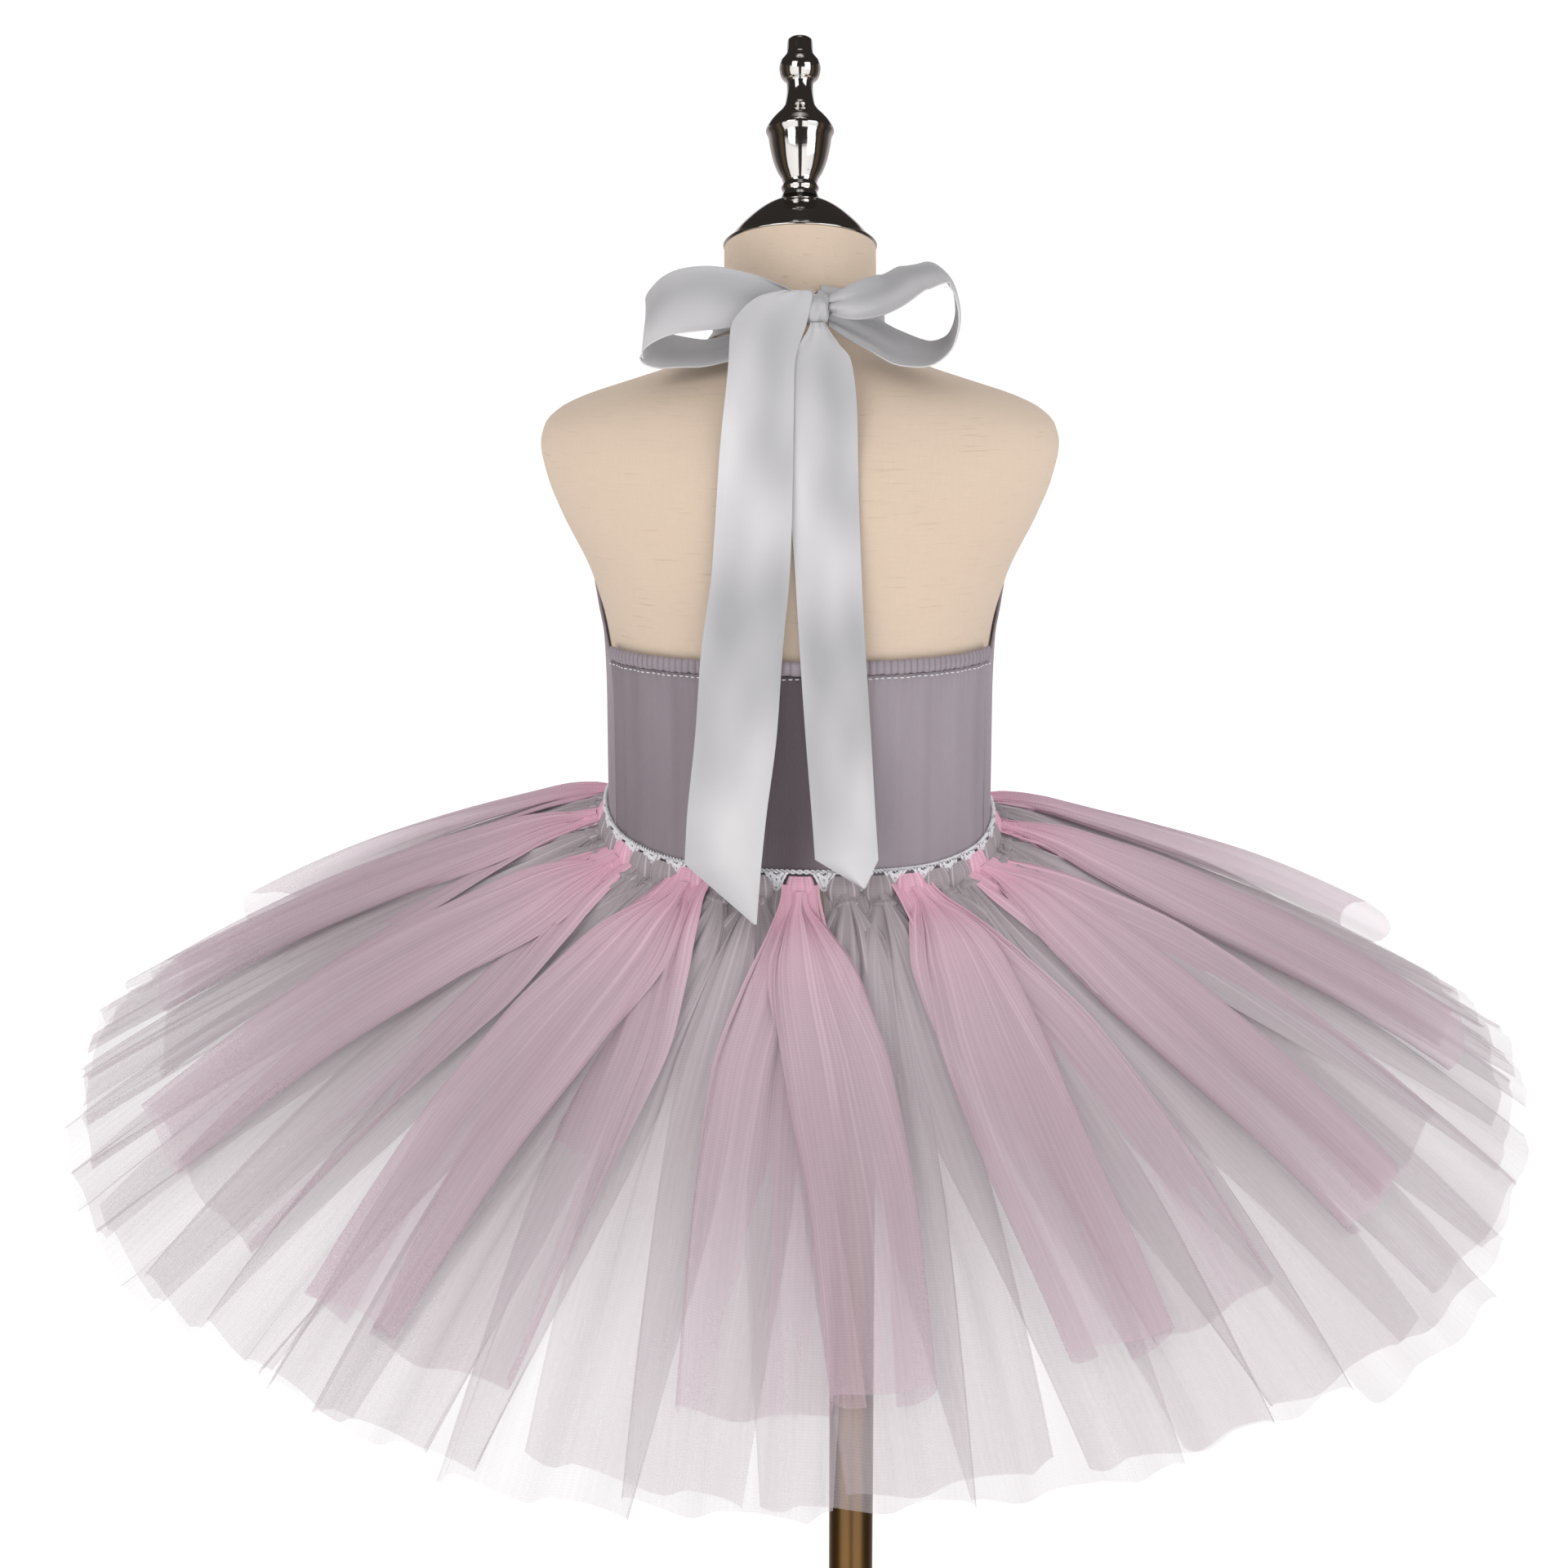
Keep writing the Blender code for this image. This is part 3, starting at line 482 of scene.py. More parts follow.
class Bench(Shop):
    """Where one material is put together."""

    def __init__(self, name: str) -> None:
        """Starts an empty material."""
        self.material = bpy.data.materials.new(name)
        self.material.use_nodes = True
        super().__init__(self.material.node_tree)
        self.tree.nodes.clear()

    def clamped(self, value: Wire) -> Wire:
        """The wire kept between 0 and 1."""
        return self.wire("ShaderNodeClamp", None, {"Value": value})

    def trait(self, name: str) -> Wire:
        """A named value of the mesh."""
        return self.wire("ShaderNodeAttribute", {"attribute_name": name}, None, "Fac")

    def place(self, kind: str = "UV") -> Wire:
        """The place on the cloth, or with Object the place in the part."""
        return self.wire("ShaderNodeTexCoord", output=kind)

    def scaled(self, place: Wire, scale: tuple[float, float, float], turn: float = 0.0) -> Wire:
        """A place stretched, and turned by an angle in degrees."""
        sockets = {"Vector": place, "Scale": scale, "Rotation": (0.0, 0.0, math.radians(turn))}
        return self.wire("ShaderNodeMapping", None, sockets)

    def noise(self, place: Wire, scale: float, detail: float = 2.0, rough: float = 0.5) -> Wire:
        """Soft noise from 0 to 1."""
        sockets = {"Vector": place, "Scale": scale, "Detail": detail, "Roughness": rough}
        return self.wire("ShaderNodeTexNoise", None, sockets)

    def grain(
        self, scale: tuple[float, float, float], detail: float = 2.0, rough: float = 0.5,
        turn: float = 0.0, kind: str = "UV",
    ) -> Wire:
        """Noise stretched along the axes of the cloth or, with Object, of the part."""
        return self.noise(self.scaled(self.place(kind), scale, turn), 1.0, detail, rough)

    def lines(self, place: Wire, scale: float, distortion: float = 0.0) -> Wire:
        """Even sine lines across the place's X."""
        sockets = {"Vector": place, "Scale": scale, "Distortion": distortion, "Detail Scale": 2.0}
        settings = {"wave_type": "BANDS", "bands_direction": "X", "wave_profile": "SIN"}
        return self.wire("ShaderNodeTexWave", settings, sockets, "Fac")

    def weave(self, pitch: float, turn: float) -> Wire:
        """Two sets of slanted lines that cross on the cloth, from -1 to 1."""
        across = 2.0 * math.pi / pitch * math.cos(math.radians(turn))
        along = 2.0 * math.pi / pitch * math.sin(math.radians(turn))
        waves = []
        for slant in ((across, along, 0.0), (-across, along, 0.0)):
            sockets = {0: self.place(), 1: slant}
            spot = self.wire("ShaderNodeVectorMath", {"operation": "DOT_PRODUCT"}, sockets, "Value")
            waves.append(self.maths("SINE", spot))
        return waves[0] * waves[1]

    def bump(self, height: Wire, depth: float, strength: float) -> Wire:
        """A Bump node: depth in metres."""
        sockets = {"Height": height, "Distance": depth, "Strength": strength}
        return self.wire("ShaderNodeBump", None, sockets)

    def finish(self, sockets: dict) -> bpy.types.Material:
        """Ends the material with a Principled shader."""
        shader = self.wire("ShaderNodeBsdfPrincipled", None, sockets)
        self.node("ShaderNodeOutputMaterial", None, {"Surface": shader})
        return self.material


class Finish:
    """A material: its shader's inputs are put together on a bench."""

    name: str

    def sockets(self, bench: Bench) -> dict:
        """The shader's inputs, by their names."""
        raise NotImplementedError

    def build(self) -> bpy.types.Material:
        """The material."""
        bench = Bench(self.name)
        return bench.finish(self.sockets(bench))


@dataclass(frozen=True)
class Linen(Finish):
    """The form's cover: cream plain weave with slubs."""

    name: str = "linen_cover"
    light: Colour = (0.780, 0.630, 0.500)
    dark: Colour = (0.660, 0.510, 0.390)
    slub: Colour = (0.56, 0.42, 0.31)

    def sockets(self, bench: Bench) -> dict:
        """The shader's inputs."""
        weft = bench.grain((90.0, 1900.0, 1.0), 3.0, 0.6)
        warp = bench.grain((1900.0, 110.0, 1.0), 3.0, 0.6)
        mark = bench.clamped((bench.grain((55.0, 700.0, 1.0), 2.0, 0.4) - 0.64) * 9.0)
        soft = bench.noise(bench.place(), 16.0)
        tone = bench.clamped((weft + warp) * 0.9 - 0.4)
        cloth = bench.blend(tone * 0.55 + soft * 0.25 - 0.05, self.light, self.dark)
        return {
            "Base Color": bench.blend(mark * 0.35, cloth, self.slub),
            "Roughness": 0.86,
            "Normal": bench.bump(weft + warp + mark, 0.0002, 0.55),
            "Sheen Weight": 0.12,
            "Sheen Roughness": 0.5,
        }


@dataclass(frozen=True)
class Knit(Finish):
    """The bodice's smooth stretch knit, with painted shade in its hollows, creases and gathers."""

    name: str = "stretch_knit"
    light: Colour = (0.430, 0.372, 0.412)
    dark: Colour = (0.300, 0.252, 0.285)
    # Painted shade: the near-black colour that the knit is darkened towards where shade falls.
    painted_shade: Colour = (0.070, 0.046, 0.058)
    sheen: Colour = (0.92, 0.86, 0.92)

    def sockets(self, bench: Bench) -> dict:
        """The shader's inputs."""
        wale = bench.lines(bench.place(), 330.0, 0.6)
        course = bench.grain((1500.0, 900.0, 1.0))
        tone = bench.clamped(bench.grain((26.0, 9.0, 1.0), 3.0) * 1.1 - 0.25 + course * 0.25)
        cloth = bench.blend(tone, self.dark, self.light)
        # The fold value carries painted shade, not the cloth's own colour.
        return {
            "Base Color": bench.blend(bench.trait("fold"), cloth, self.painted_shade),
            "Roughness": bench.clamped(0.56 + course * 0.16),
            "Normal": bench.bump(wale * 0.6 + course, 0.00018, 0.6),
            "Sheen Weight": 0.30,
            "Sheen Roughness": 0.4,
            "Sheen Tint": (*self.sheen, 1.0),
        }


@dataclass(frozen=True)
class Satin(Finish):
    """Silver-grey satin ribbon, with fine ribs across, woven edges and a painted sheen."""

    name: str = "satin_ribbon"
    # Lit and shaded tones of the one satin, which the painted sheen blends.
    light: Colour = (0.770, 0.750, 0.765)
    dark: Colour = (0.445, 0.440, 0.455)

    def sockets(self, bench: Bench) -> dict:
        """The shader's inputs."""
        thread = bench.grain((2600.0, 120.0, 1.0))
        rib = bench.lines(bench.scaled(bench.place(), (1.0, 1.0, 1.0), 90.0), 700.0, 0.3)
        soft = bench.grain((26.0, 11.0, 1.0), 1.0, turn=32.0)
        fold = bench.grain((15.0, 9.0, 1.0), 1.0, turn=-28.0)
        edge = bench.trait("selvedge")
        # Painted sheen and shade: soft diagonal bands of noise lighten and darken the colour; the fold
        # noise also feeds the bump.
        painted_sheen = bench.clamped((soft + fold) * 2.2 - 1.68)
        return {
            "Base Color": bench.blend(painted_sheen, self.dark, self.light),
            "Roughness": bench.clamped(0.25 + soft * 0.12 + edge * 0.15),
            "Normal": bench.bump(thread * 0.03 + rib * 0.015 + edge * 0.08 + fold, 0.0036, 0.55),
            "Sheen Weight": 0.25,
            "Sheen Roughness": 0.35,
            "Anisotropic": 0.55,
            "Specular IOR Level": 0.62,
        }


@dataclass(frozen=True)
class Tulle(Finish):
    """Fine net, see-through where one layer lies alone and dense where it is gathered, with painted shade
    in broad patches and painted highlights along its creases.
    """

    name: str
    hem: Colour
    gathered: Colour

    def sockets(self, bench: Bench) -> dict:
        """The shader's inputs."""
        cover, dense, edge, broad = map(bench.trait, ("cover", "dense", "edge", "broad"))
        crease = bench.grain((600.0, 5.5, 1.0), 0.0)
        net = bench.weave(0.0026, 58.0)
        # Painted highlight: paler lines along the creases, which also make the net a little denser there.
        crease_highlight = bench.clamped((crease - 0.60) * 8.0) * (dense * 0.75 + 0.25)
        weight = 0.80 + broad * 0.30 + (crease - 0.5) * (0.10 + dense * 0.4) + net * 0.075
        # Where gathered and in its creases the colour moves to the gathered tone; for the grey this is
        # darker, partly the denser net and partly painted shade.
        base = bench.blend(bench.clamped(dense * (0.74 + crease * 0.52)), self.hem, self.gathered)
        # Painted shade: the tulle is darkened in broad soft patches towards four fifths of its hem colour.
        painted_shade = tuple(part * 0.80 for part in self.hem)
        # The painted highlight's colour, paler than the hem's.
        pale = tuple(min(0.95, part * 1.30 + 0.06) for part in self.hem)
        shade = bench.blend(bench.clamped(broad * 1.4 - 0.50) * 0.34, base, painted_shade)
        return {
            "Base Color": bench.blend(crease_highlight * 0.42, shade, pale),
            "Roughness": 0.80,
            "Alpha": bench.clamped(cover * weight + crease_highlight * 0.14 + edge * 0.12),
        }


@dataclass(frozen=True)
class Cotton(Finish):
    """White cotton thread, twisted."""

    name: str = "cotton_thread"
    light: Colour = (0.96, 0.95, 0.975)
    dark: Colour = (0.80, 0.78, 0.83)

    def sockets(self, bench: Bench) -> dict:
        """The shader's inputs."""
        ply = bench.grain((900.0, 900.0, 1500.0), 3.0, 0.6, kind="Object")
        return {
            "Base Color": bench.blend(bench.clamped(ply * 1.6 - 0.3), self.dark, self.light),
            "Roughness": 0.8,
            "Normal": bench.bump(ply, 0.0002, 0.7),
            "Sheen Weight": 0.2,
        }


@dataclass(frozen=True)
class Chrome(Finish):
    """Polished chrome with faint wipe marks."""

    name: str = "polished_chrome"
    colour: Colour = (0.72, 0.70, 0.68)
    warm: Colour = (0.62, 0.58, 0.54)

    def sockets(self, bench: Bench) -> dict:
        """The shader's inputs."""
        haze = bench.noise(bench.place("Object"), 60.0, 3.0, 0.6)
        wipe = bench.grain((30.0, 30.0, 900.0), kind="Object")
        return {
            "Base Color": bench.blend(haze * 0.25, self.colour, self.warm),
            "Metallic": 1.0,
            "Roughness": bench.clamped(0.035 + haze * 0.05 + wipe * 0.03),
            "Normal": bench.bump(wipe, 0.00004, 0.25),
        }


@dataclass(frozen=True)
class Steel(Finish):
    """The stand's brushed steel with a warm lacquer."""

    name: str = "brushed_steel"
    colour: Colour = (0.290, 0.148, 0.034)
    edge: Colour = (0.165, 0.102, 0.052)

    def sockets(self, bench: Bench) -> dict:
        """The shader's inputs."""
        brush = bench.grain((1400.0, 1400.0, 14.0), 3.0, 0.6, kind="Object")
        haze = bench.noise(bench.place("Object"), 22.0, 3.0)
        return {
            "Base Color": bench.blend(bench.clamped(haze * 1.3 - 0.2), self.edge, self.colour),
            "Metallic": 0.9,
            "Roughness": bench.clamped(0.20 + brush * 0.18 + haze * 0.06),
            "Normal": bench.bump(brush, 0.00008, 0.35),
        }


class Repeat(Shop):
    """A Geometry Nodes tree that sets a motif along a path, and what it makes as a plain mesh."""

    def __init__(self, name: str, finish: bpy.types.Material) -> None:
        """Starts the tree with its geometry input and output.

        Args:
            name: The tree's name.
            finish: The material of what it makes.
        """
        super().__init__(bpy.data.node_groups.new(name, "GeometryNodeTree"))
        self.finish = finish
        self.tree.interface.new_socket("Geometry", in_out="INPUT", socket_type="NodeSocketGeometry")
        self.tree.interface.new_socket("Geometry", in_out="OUTPUT", socket_type="NodeSocketGeometry")
        self.named: dict[str, str] = {}
        self.given = self.node("NodeGroupInput")

    def size(self, name: str, kind: str = "NodeSocketFloat") -> bpy.types.NodeSocket:
        """A named input of the tree."""
        item = self.tree.interface.new_socket(name, in_out="INPUT", socket_type=kind)
        self.named[name] = item.identifier
        return self.given.outputs[name]

    def end(self, instances: dict) -> None:
        """Ends the tree in Instance on Points, Realize Instances and Set Material."""
        spread = self.wire("GeometryNodeInstanceOnPoints", None, instances)
        real = self.wire("GeometryNodeRealizeInstances", None, {0: spread})
        sockets = {"Geometry": real, "Material": self.finish}
        self.node("NodeGroupOutput", None, {0: self.wire("GeometryNodeSetMaterial", None, sockets)})

    def run(self, name: str, carrier: bpy.types.Object, sizes: dict[str, object]) -> bpy.types.Object:
        """Runs the tree on a carrier, which is then removed.

        Args:
            name: The new piece's name.
            carrier: The object whose geometry the tree is given.
            sizes: Values of the named inputs.

        Returns:
            The piece, a plain mesh.
        """
        modifier = carrier.modifiers.new(name, "NODES")
        modifier.node_group = self.tree
        for size, value in sizes.items():
            modifier[self.named[size]] = value
        bpy.context.view_layer.update()
        evaluated = carrier.evaluated_get(bpy.context.evaluated_depsgraph_get())
        mesh = bpy.data.meshes.new_from_object(evaluated)
        carrier.modifiers.remove(modifier)
        bpy.data.objects.remove(carrier)
        mesh.name = name
        mesh.shade_smooth()
        return new_object(name, mesh)


def path_object(name: str, points: np.ndarray) -> bpy.types.Object:
    """A poly curve through points given in millimetres."""
    curve = bpy.data.curves.new(name, "CURVE")
    curve.dimensions = "3D"
    line = curve.splines.new("POLY")
    line.points.add(len(points) - 1)
    line.points.foreach_set("co", np.column_stack([placed(points), np.ones(len(points))]).ravel())
    return new_object(name, curve)


@dataclass
class Stitching:
    """A row of thread stitches along a seam."""

    finish: bpy.types.Material
    pitch: float = 3.4
    length: float = 2.3
    thread: float = 0.68

    def sew(self, name: str, points: np.ndarray) -> bpy.types.Object:
        """Sews along points.

        Args:
            name: The piece's name.
            points: The seam, in millimetres.

        Returns:
            The stitches as one piece.
        """
        tree = Repeat("stitch_row", self.finish)
        pitch, length, thread = (tree.size(name) for name in ("Pitch", "Length", "Thread width"))
        sockets = {"Curve": tree.given.outputs[0], "Length": pitch}
        spots = tree.node("GeometryNodeCurveToPoints", {"mode": "LENGTH"}, sockets)
        sockets = {"Segments": 8, "Rings": 6, "Radius": 0.5}
        ball = tree.wire("GeometryNodeMeshUVSphere", None, sockets)
        size = tree.wire("ShaderNodeCombineXYZ", None, {"X": thread, "Y": thread, "Z": length})
        sockets = {"Geometry": ball, "Scale": size}
        shaped = tree.wire("GeometryNodeTransform", None, sockets)
        sockets = {
            "Points": spots.outputs["Points"],
            "Instance": shaped,
            "Rotation": spots.outputs["Rotation"],
        }
        tree.end(sockets)
        sizes = {"Pitch": self.pitch * MM, "Length": self.length * MM, "Thread width": self.thread * MM}
        return tree.run(name, path_object(name, points), sizes)


@dataclass
class Lathe:
    """A turned piece.

    A row of its profile is a height on its axis and a radius. Its ends close to the radius shut.
    """

    name: str
    profile: Table
    frame: Matrix
    finish: bpy.types.Material
    slot: Slot
    segments: int = 72
    smooth_steps: int = 0
    sharp: float = 40.0
    shut: float = 0.02

    def build(self) -> bpy.types.Object:
        """The piece: its profile turned about the frame's Z axis and closed at both ends."""
        profile = list(self.profile)
        if self.smooth_steps:
            along = np.linspace(profile[0][0], profile[-1][0], self.smooth_steps)
            profile = list(zip(along, column_of(self.profile, along)))
        profile = [(profile[0][0], self.shut), *profile, (profile[-1][0], self.shut)]
        turns = -np.linspace(0.0, 2.0 * math.pi, self.segments, endpoint=False)
        grid = np.array([[(r * math.cos(t), r * math.sin(t), a) for t in turns] for a, r in profile])
        grid = grid @ np.array(self.frame.to_3x3()).T + np.array(self.frame.translation)
        made = one_grid(self.name, grid, self.finish, self.sharp, closed=True, turned=True)
        return attach(made, self.slot, [self.name])


@dataclass
class DressForm:
    """The limbless torso, its turned cap and finial, and its stand.

    A row of cap or finial is a height over the neck's top and a radius.
    """

    body: Body
    linen: bpy.types.Material
    chrome: bpy.types.Material
    steel: bpy.types.Material
    bottom: float = -95.0
    rings: int = 150
    segments: int = 144
    rounding: float = 3.0
    gap: float = 0.3
    pole_x: float = 30.0
    pole_radius: float = 12.5
    base_radius: float = 145.0
    base_thickness: float = 6.0
    collar_height: float = 14.0
    flange_thickness: float = 4.0
    flange_collar: float = 16.0
    cap: Table = (
        (0, 39.6), (0.8, 40.2), (1.6, 39.9), (2.6, 38), (4.2, 36.6), (9.5, 32.3), (15.6, 26.2),
        (19.4, 21.6), (22.3, 17.2), (25, 11.8), (26.6, 9.6),
    )
    finial: Table = (
        (26.9, 9.8), (29.9, 9), (32.1, 9.9), (34.3, 8.9), (36.6, 9.3), (41, 11.8), (47.7, 14.3),
        (54.4, 15.8), (60.2, 16.8), (62.9, 17.9), (66.9, 16.2), (70.9, 13.1), (74.5, 9.7), (77.6, 7.8),
        (85.6, 6.8), (89.6, 7.1), (91.2, 9), (94, 10.4), (97.2, 10.9), (100.8, 10.1), (103.5, 8.2),
        (105.3, 7), (112.4, 6.4), (113.6, 5.2),
    )

    def torso(self) -> None:
        """The linen-covered torso and neck."""
        heights = np.linspace(self.bottom, self.body.neck_top, self.rings)
        turns = np.linspace(0.0, 360.0, self.segments, endpoint=False)
        grid = grid_of(heights, turns, lambda height, turn: self.body.skin(turn, height))
        inwards = grid[0] * np.array([1.0, 1.0, 0.0])
        grid[0] -= inwards / np.linalg.norm(inwards, axis=1, keepdims=True) * self.rounding
        middles = [row.mean(axis=0) for row in (grid[0], grid[-1])]
        ends = [middle + (row - middle) * 0.001 for middle, row in zip(middles, (grid[0], grid[-1]))]
        grid = np.concatenate([ends[0][None], grid, ends[1][None]])
        cover = one_grid("form_cover", grid, self.linen, 80.0, closed=True)
        attach(cover, Slot.LINEN, ["form_torso"])

    def hardware(self) -> None:
        """The cap and finial on the neck's tilted top."""
        seat = Vector((0.0, 0.0, self.body.neck_top))
        tilted = Matrix.Translation(seat) @ Matrix.Rotation(-self.body.neck_tilt, 4, "X")
        tilted = tilted @ Matrix.Translation((0.0, 0.0, self.gap))
        Lathe("neck_cap", self.cap, tilted, self.chrome, Slot.CHROME, 96, 90).build()
        Lathe("finial", self.finial, tilted, self.chrome, Slot.CHROME, 72, 170).build()

    def stand(self) -> None:
        """The flange, pole, collar and round base."""
        under = self.bottom - self.gap
        floor = -WAIST_HEIGHT
        foot = floor + self.base_thickness + self.gap
        top = foot + self.collar_height
        neck = under - self.flange_thickness - self.flange_collar
        turned = {
            "pole_flange": (
                (neck, 16.4), (neck + 0.6, 17.0), (under - self.flange_thickness, 17.5),
                (under - self.flange_thickness, 33.4), (under - self.flange_thickness + 0.6, 34.0),
                (under, 34.0),
            ),
            "pole": ((top + self.gap, self.pole_radius), (neck - self.gap, self.pole_radius)),
            "base_collar": (
                (foot, 26.0), (foot + 3.0, 26.0), (foot + 4.2, 22.6), (foot + 6.0, 19.0),
                (top - 0.8, 17.2), (top, 16.4),
            ),
            "base_plate": (
                (floor, self.base_radius - 1.0), (floor + 1.5, self.base_radius),
                (floor + self.base_thickness - 2.0, self.base_radius),
                (floor + self.base_thickness - 0.7, self.base_radius - 0.9),
                (floor + self.base_thickness, self.base_radius - 3.0),
            ),
        }
        upright = Matrix.Translation((self.pole_x, 0.0, 0.0))
        for name, profile in turned.items():
            Lathe(name, profile, upright, self.steel, Slot.STEEL, 96).build()

    def build(self) -> None:
        """Builds everything that carries the dress."""
        self.torso()
        self.hardware()
        self.stand()


@dataclass
class Bodice:
    """The knit panels, the gathered casings, the seams and their stitches.

    A row of armhole is a height and the angle from the back at which the front panel ends.
    """

    body: Body
    knit: bpy.types.Material
    thread: bpy.types.Material
    clearance: float = 1.2
    thickness: float = 1.3
    seam_angle: float = 70.0
    back_top: float = 74.0
    drop: float = 9.0
    folds: int = 13
    fold_depth: float = 0.55
    gather_depth: float = 0.34
    gather_fade: float = 9.0
    stitch_rise: float = 0.95
    stitch_drop: float = 1.4
    seam_offset: float = 2.6
    seam_radius: float = 0.75
    casing_gap: float = 0.3
    casing_height: float = 7.6
    casing_depth: float = 3.8
    casing_gathers: int = 62
    neck_casing_height: float = 229.6
    neck_casing_half_angle: float = 36.0
    neck_casing_offset: float = 4.0
    neck_casing_gathers: int = 22
    front_top: float = 224.0
    armhole: Table = (
        (74, 72), (83, 79), (100, 89), (116, 99), (135, 118), (150, 131.5), (170, 145), (190, 154),
        (208, 155), (224, 146),
    )

    def swell(self, angle: float | np.ndarray) -> float | np.ndarray:
        """How far the back panel's upright folds stand out at the top."""
        across = (angle + self.seam_angle) / (2.0 * self.seam_angle)
        return self.fold_depth * (1.0 + np.cos(2.0 * math.pi * self.folds * across))

    def back_point(self, share: float, angle: float) -> Vector:
        """A point of the back panel, at a share of its height."""
        bottom = self.body.waist_height(angle) - self.drop
        height = bottom + (self.back_top - bottom) * share
        fold = float(self.swell(angle)) * (0.1 + 0.9 * share)
        across = (angle + self.seam_angle) / (2.0 * self.seam_angle)
        gather = self.gather_depth * (1.0 + math.sin(2.0 * math.pi * self.casing_gathers * across))
        gather *= math.exp(-(self.back_top - height) / self.gather_fade)
        offset = self.clearance + self.thickness + fold + gather - self.gather_depth
        return self.body.point(angle, height, offset)

    def back(self) -> None:
        """The back panel: soft upright folds, and small gathers under the casing."""
        shares = np.linspace(0.0, 1.0, 46)
        angles = np.linspace(-self.seam_angle, self.seam_angle, 241)
        # Painted shade: the knit is darkened where shade falls, in the hollow of the back, towards its left
        # side and in its creases.
        middle = 0.80 * np.exp(-(((angles + 2.0) / 8.5) ** 2))
        left = 0.34 * np.clip((12.0 - angles) / 82.0, 0.0, 1.0)
        crease_shade = 0.10 * np.clip(lumpy(angles / 9.0, 1.3), 0.0, 1.0)
        shade = np.tile(np.clip(middle + left + crease_shade, 0.0, 1.0)[None], (len(shares), 1))
        grid = grid_of(shares, angles, self.back_point)
        piece = one_grid("back_panel", grid, self.knit, traits={"fold": shade})
        thicken(piece, self.thickness)
        attach(piece, Slot.KNIT, ["bodice_back"])

    def front_point(self, height: float, share: float) -> Vector:
        """A point of the front panel, at a share of its width."""
        edge = self.seam_angle
        if height > self.back_top:
            edge = read(self.armhole, height)[0]
        angle = edge + (360.0 - 2.0 * edge) * share
        if height < self.back_top:
            bottom = self.body.waist_height(angle) - self.drop
            height = bottom + (self.back_top - bottom) * height / self.back_top
        return self.body.point(angle, height, self.clearance + self.thickness)

    def front(self) -> None:
        """The front panel, which narrows to the neck as a halter."""
        lower = np.linspace(0.0, self.back_top, 20)
        upper = np.linspace(self.back_top + 1.0, self.front_top, 60)
        grid = grid_of(np.concatenate([lower, upper]), np.linspace(0.0, 1.0, 121), self.front_point)
        piece = one_grid("front_panel", grid, self.knit)
        thicken(piece, self.thickness)
        attach(piece, Slot.KNIT, ["bodice_front"])

    def casing(self, name: str, angles: np.ndarray, height: float, offset: float, gathers: int) -> None:
        """A gathered elastic casing: a soft tube with a ruffle at each gather.

        Args:
            name: The piece's name, and the CAD node's.
            angles: Where its cuts are, from the back.
            height: Its middle's height.
            offset: How far its middle is from the form.
            gathers: How many gathers it has.
        """
        turns = -np.linspace(0.0, 2.0 * math.pi, 14, endpoint=False)
        share = (angles - angles[0]) / (angles[-1] - angles[0])
        pinch = np.abs(np.sin(np.pi * gathers * share + 0.8 * np.sin(9.0 * share)))
        full = (0.62 + 0.40 * pinch + 0.04 * lumpy(share * 31.0, 0.7))[:, None]
        lean = 0.33 * lumpy(share * gathers * 0.5, 2.1)[:, None]
        centres = np.array([self.body.point(angle, height, offset) for angle in angles])
        outward = np.array([self.body.normal(angle, height) for angle in angles])
        upright = np.abs(np.sin(turns))
        across = 0.5 * self.casing_depth * full * np.cos(turns)
        up = 0.5 * self.casing_height * (0.80 + 0.20 * full) * np.sign(np.sin(turns)) * upright**0.85
        grid = centres[:, None] + outward[:, None] * across[..., None]
        grid[..., 2] += up + lean * upright
        # Painted shade: the knit is darkened in the pinches between the gathers.
        crease = 0.45 * np.clip(1.0 - 2.2 * pinch, 0.0, 1.0)
        fold = np.tile(crease[:, None], (1, len(turns)))
        piece = one_grid(name, grid, self.knit, 80.0, closed=True, traits={"fold": fold})
        attach(piece, Slot.KNIT, [name])

    def seams(self) -> None:
        """The side seams and the white stitches under the back casing."""
        angles = np.linspace(-self.seam_angle + 1.0, self.seam_angle - 1.0, 160)
        offsets = self.clearance + self.thickness + self.stitch_rise + self.swell(angles)
        height = self.back_top - self.stitch_drop
        line = np.array([self.body.point(angle, height, out) for angle, out in zip(angles, offsets)])
        attach(Stitching(self.thread).sew("casing_stitches", line), Slot.LACE)
        for angle, name in ((-self.seam_angle, "side_seam_left"), (self.seam_angle, "side_seam_right")):
            low = self.body.waist_height(angle) - self.drop
            heights = np.linspace(low, self.back_top, 60)
            centres = np.array([self.body.point(angle, height, self.seam_offset) for height in heights])
            outward = self.body.normal(angle, 0.5 * self.back_top)
            aside = outward.cross(Vector((0.0, 0.0, 1.0)))
            radii = self.seam_radius + 0.12 * np.sin(1.9 * np.arange(len(heights)))
            grid = tube(centres, np.array([outward]), np.array([aside]), radii, 8)
            attach(one_grid(name, grid, self.knit, closed=True), Slot.KNIT)

    def build(self) -> None:
        """Builds the bodice."""
        self.back()
        self.front()
        height = self.back_top + self.casing_gap + 0.5 * self.casing_height
        offset = self.clearance + 0.5 * self.casing_depth
        angles = np.linspace(-self.seam_angle, self.seam_angle, 561)
        self.casing("back_casing", angles, height, offset, self.casing_gathers)
        half = self.neck_casing_half_angle
        angles = np.linspace(180.0 - half, 180.0 + half, 241)
        height, offset = self.neck_casing_height, self.neck_casing_offset
        self.casing("neck_casing", angles, height, offset, self.neck_casing_gathers)
        self.seams()


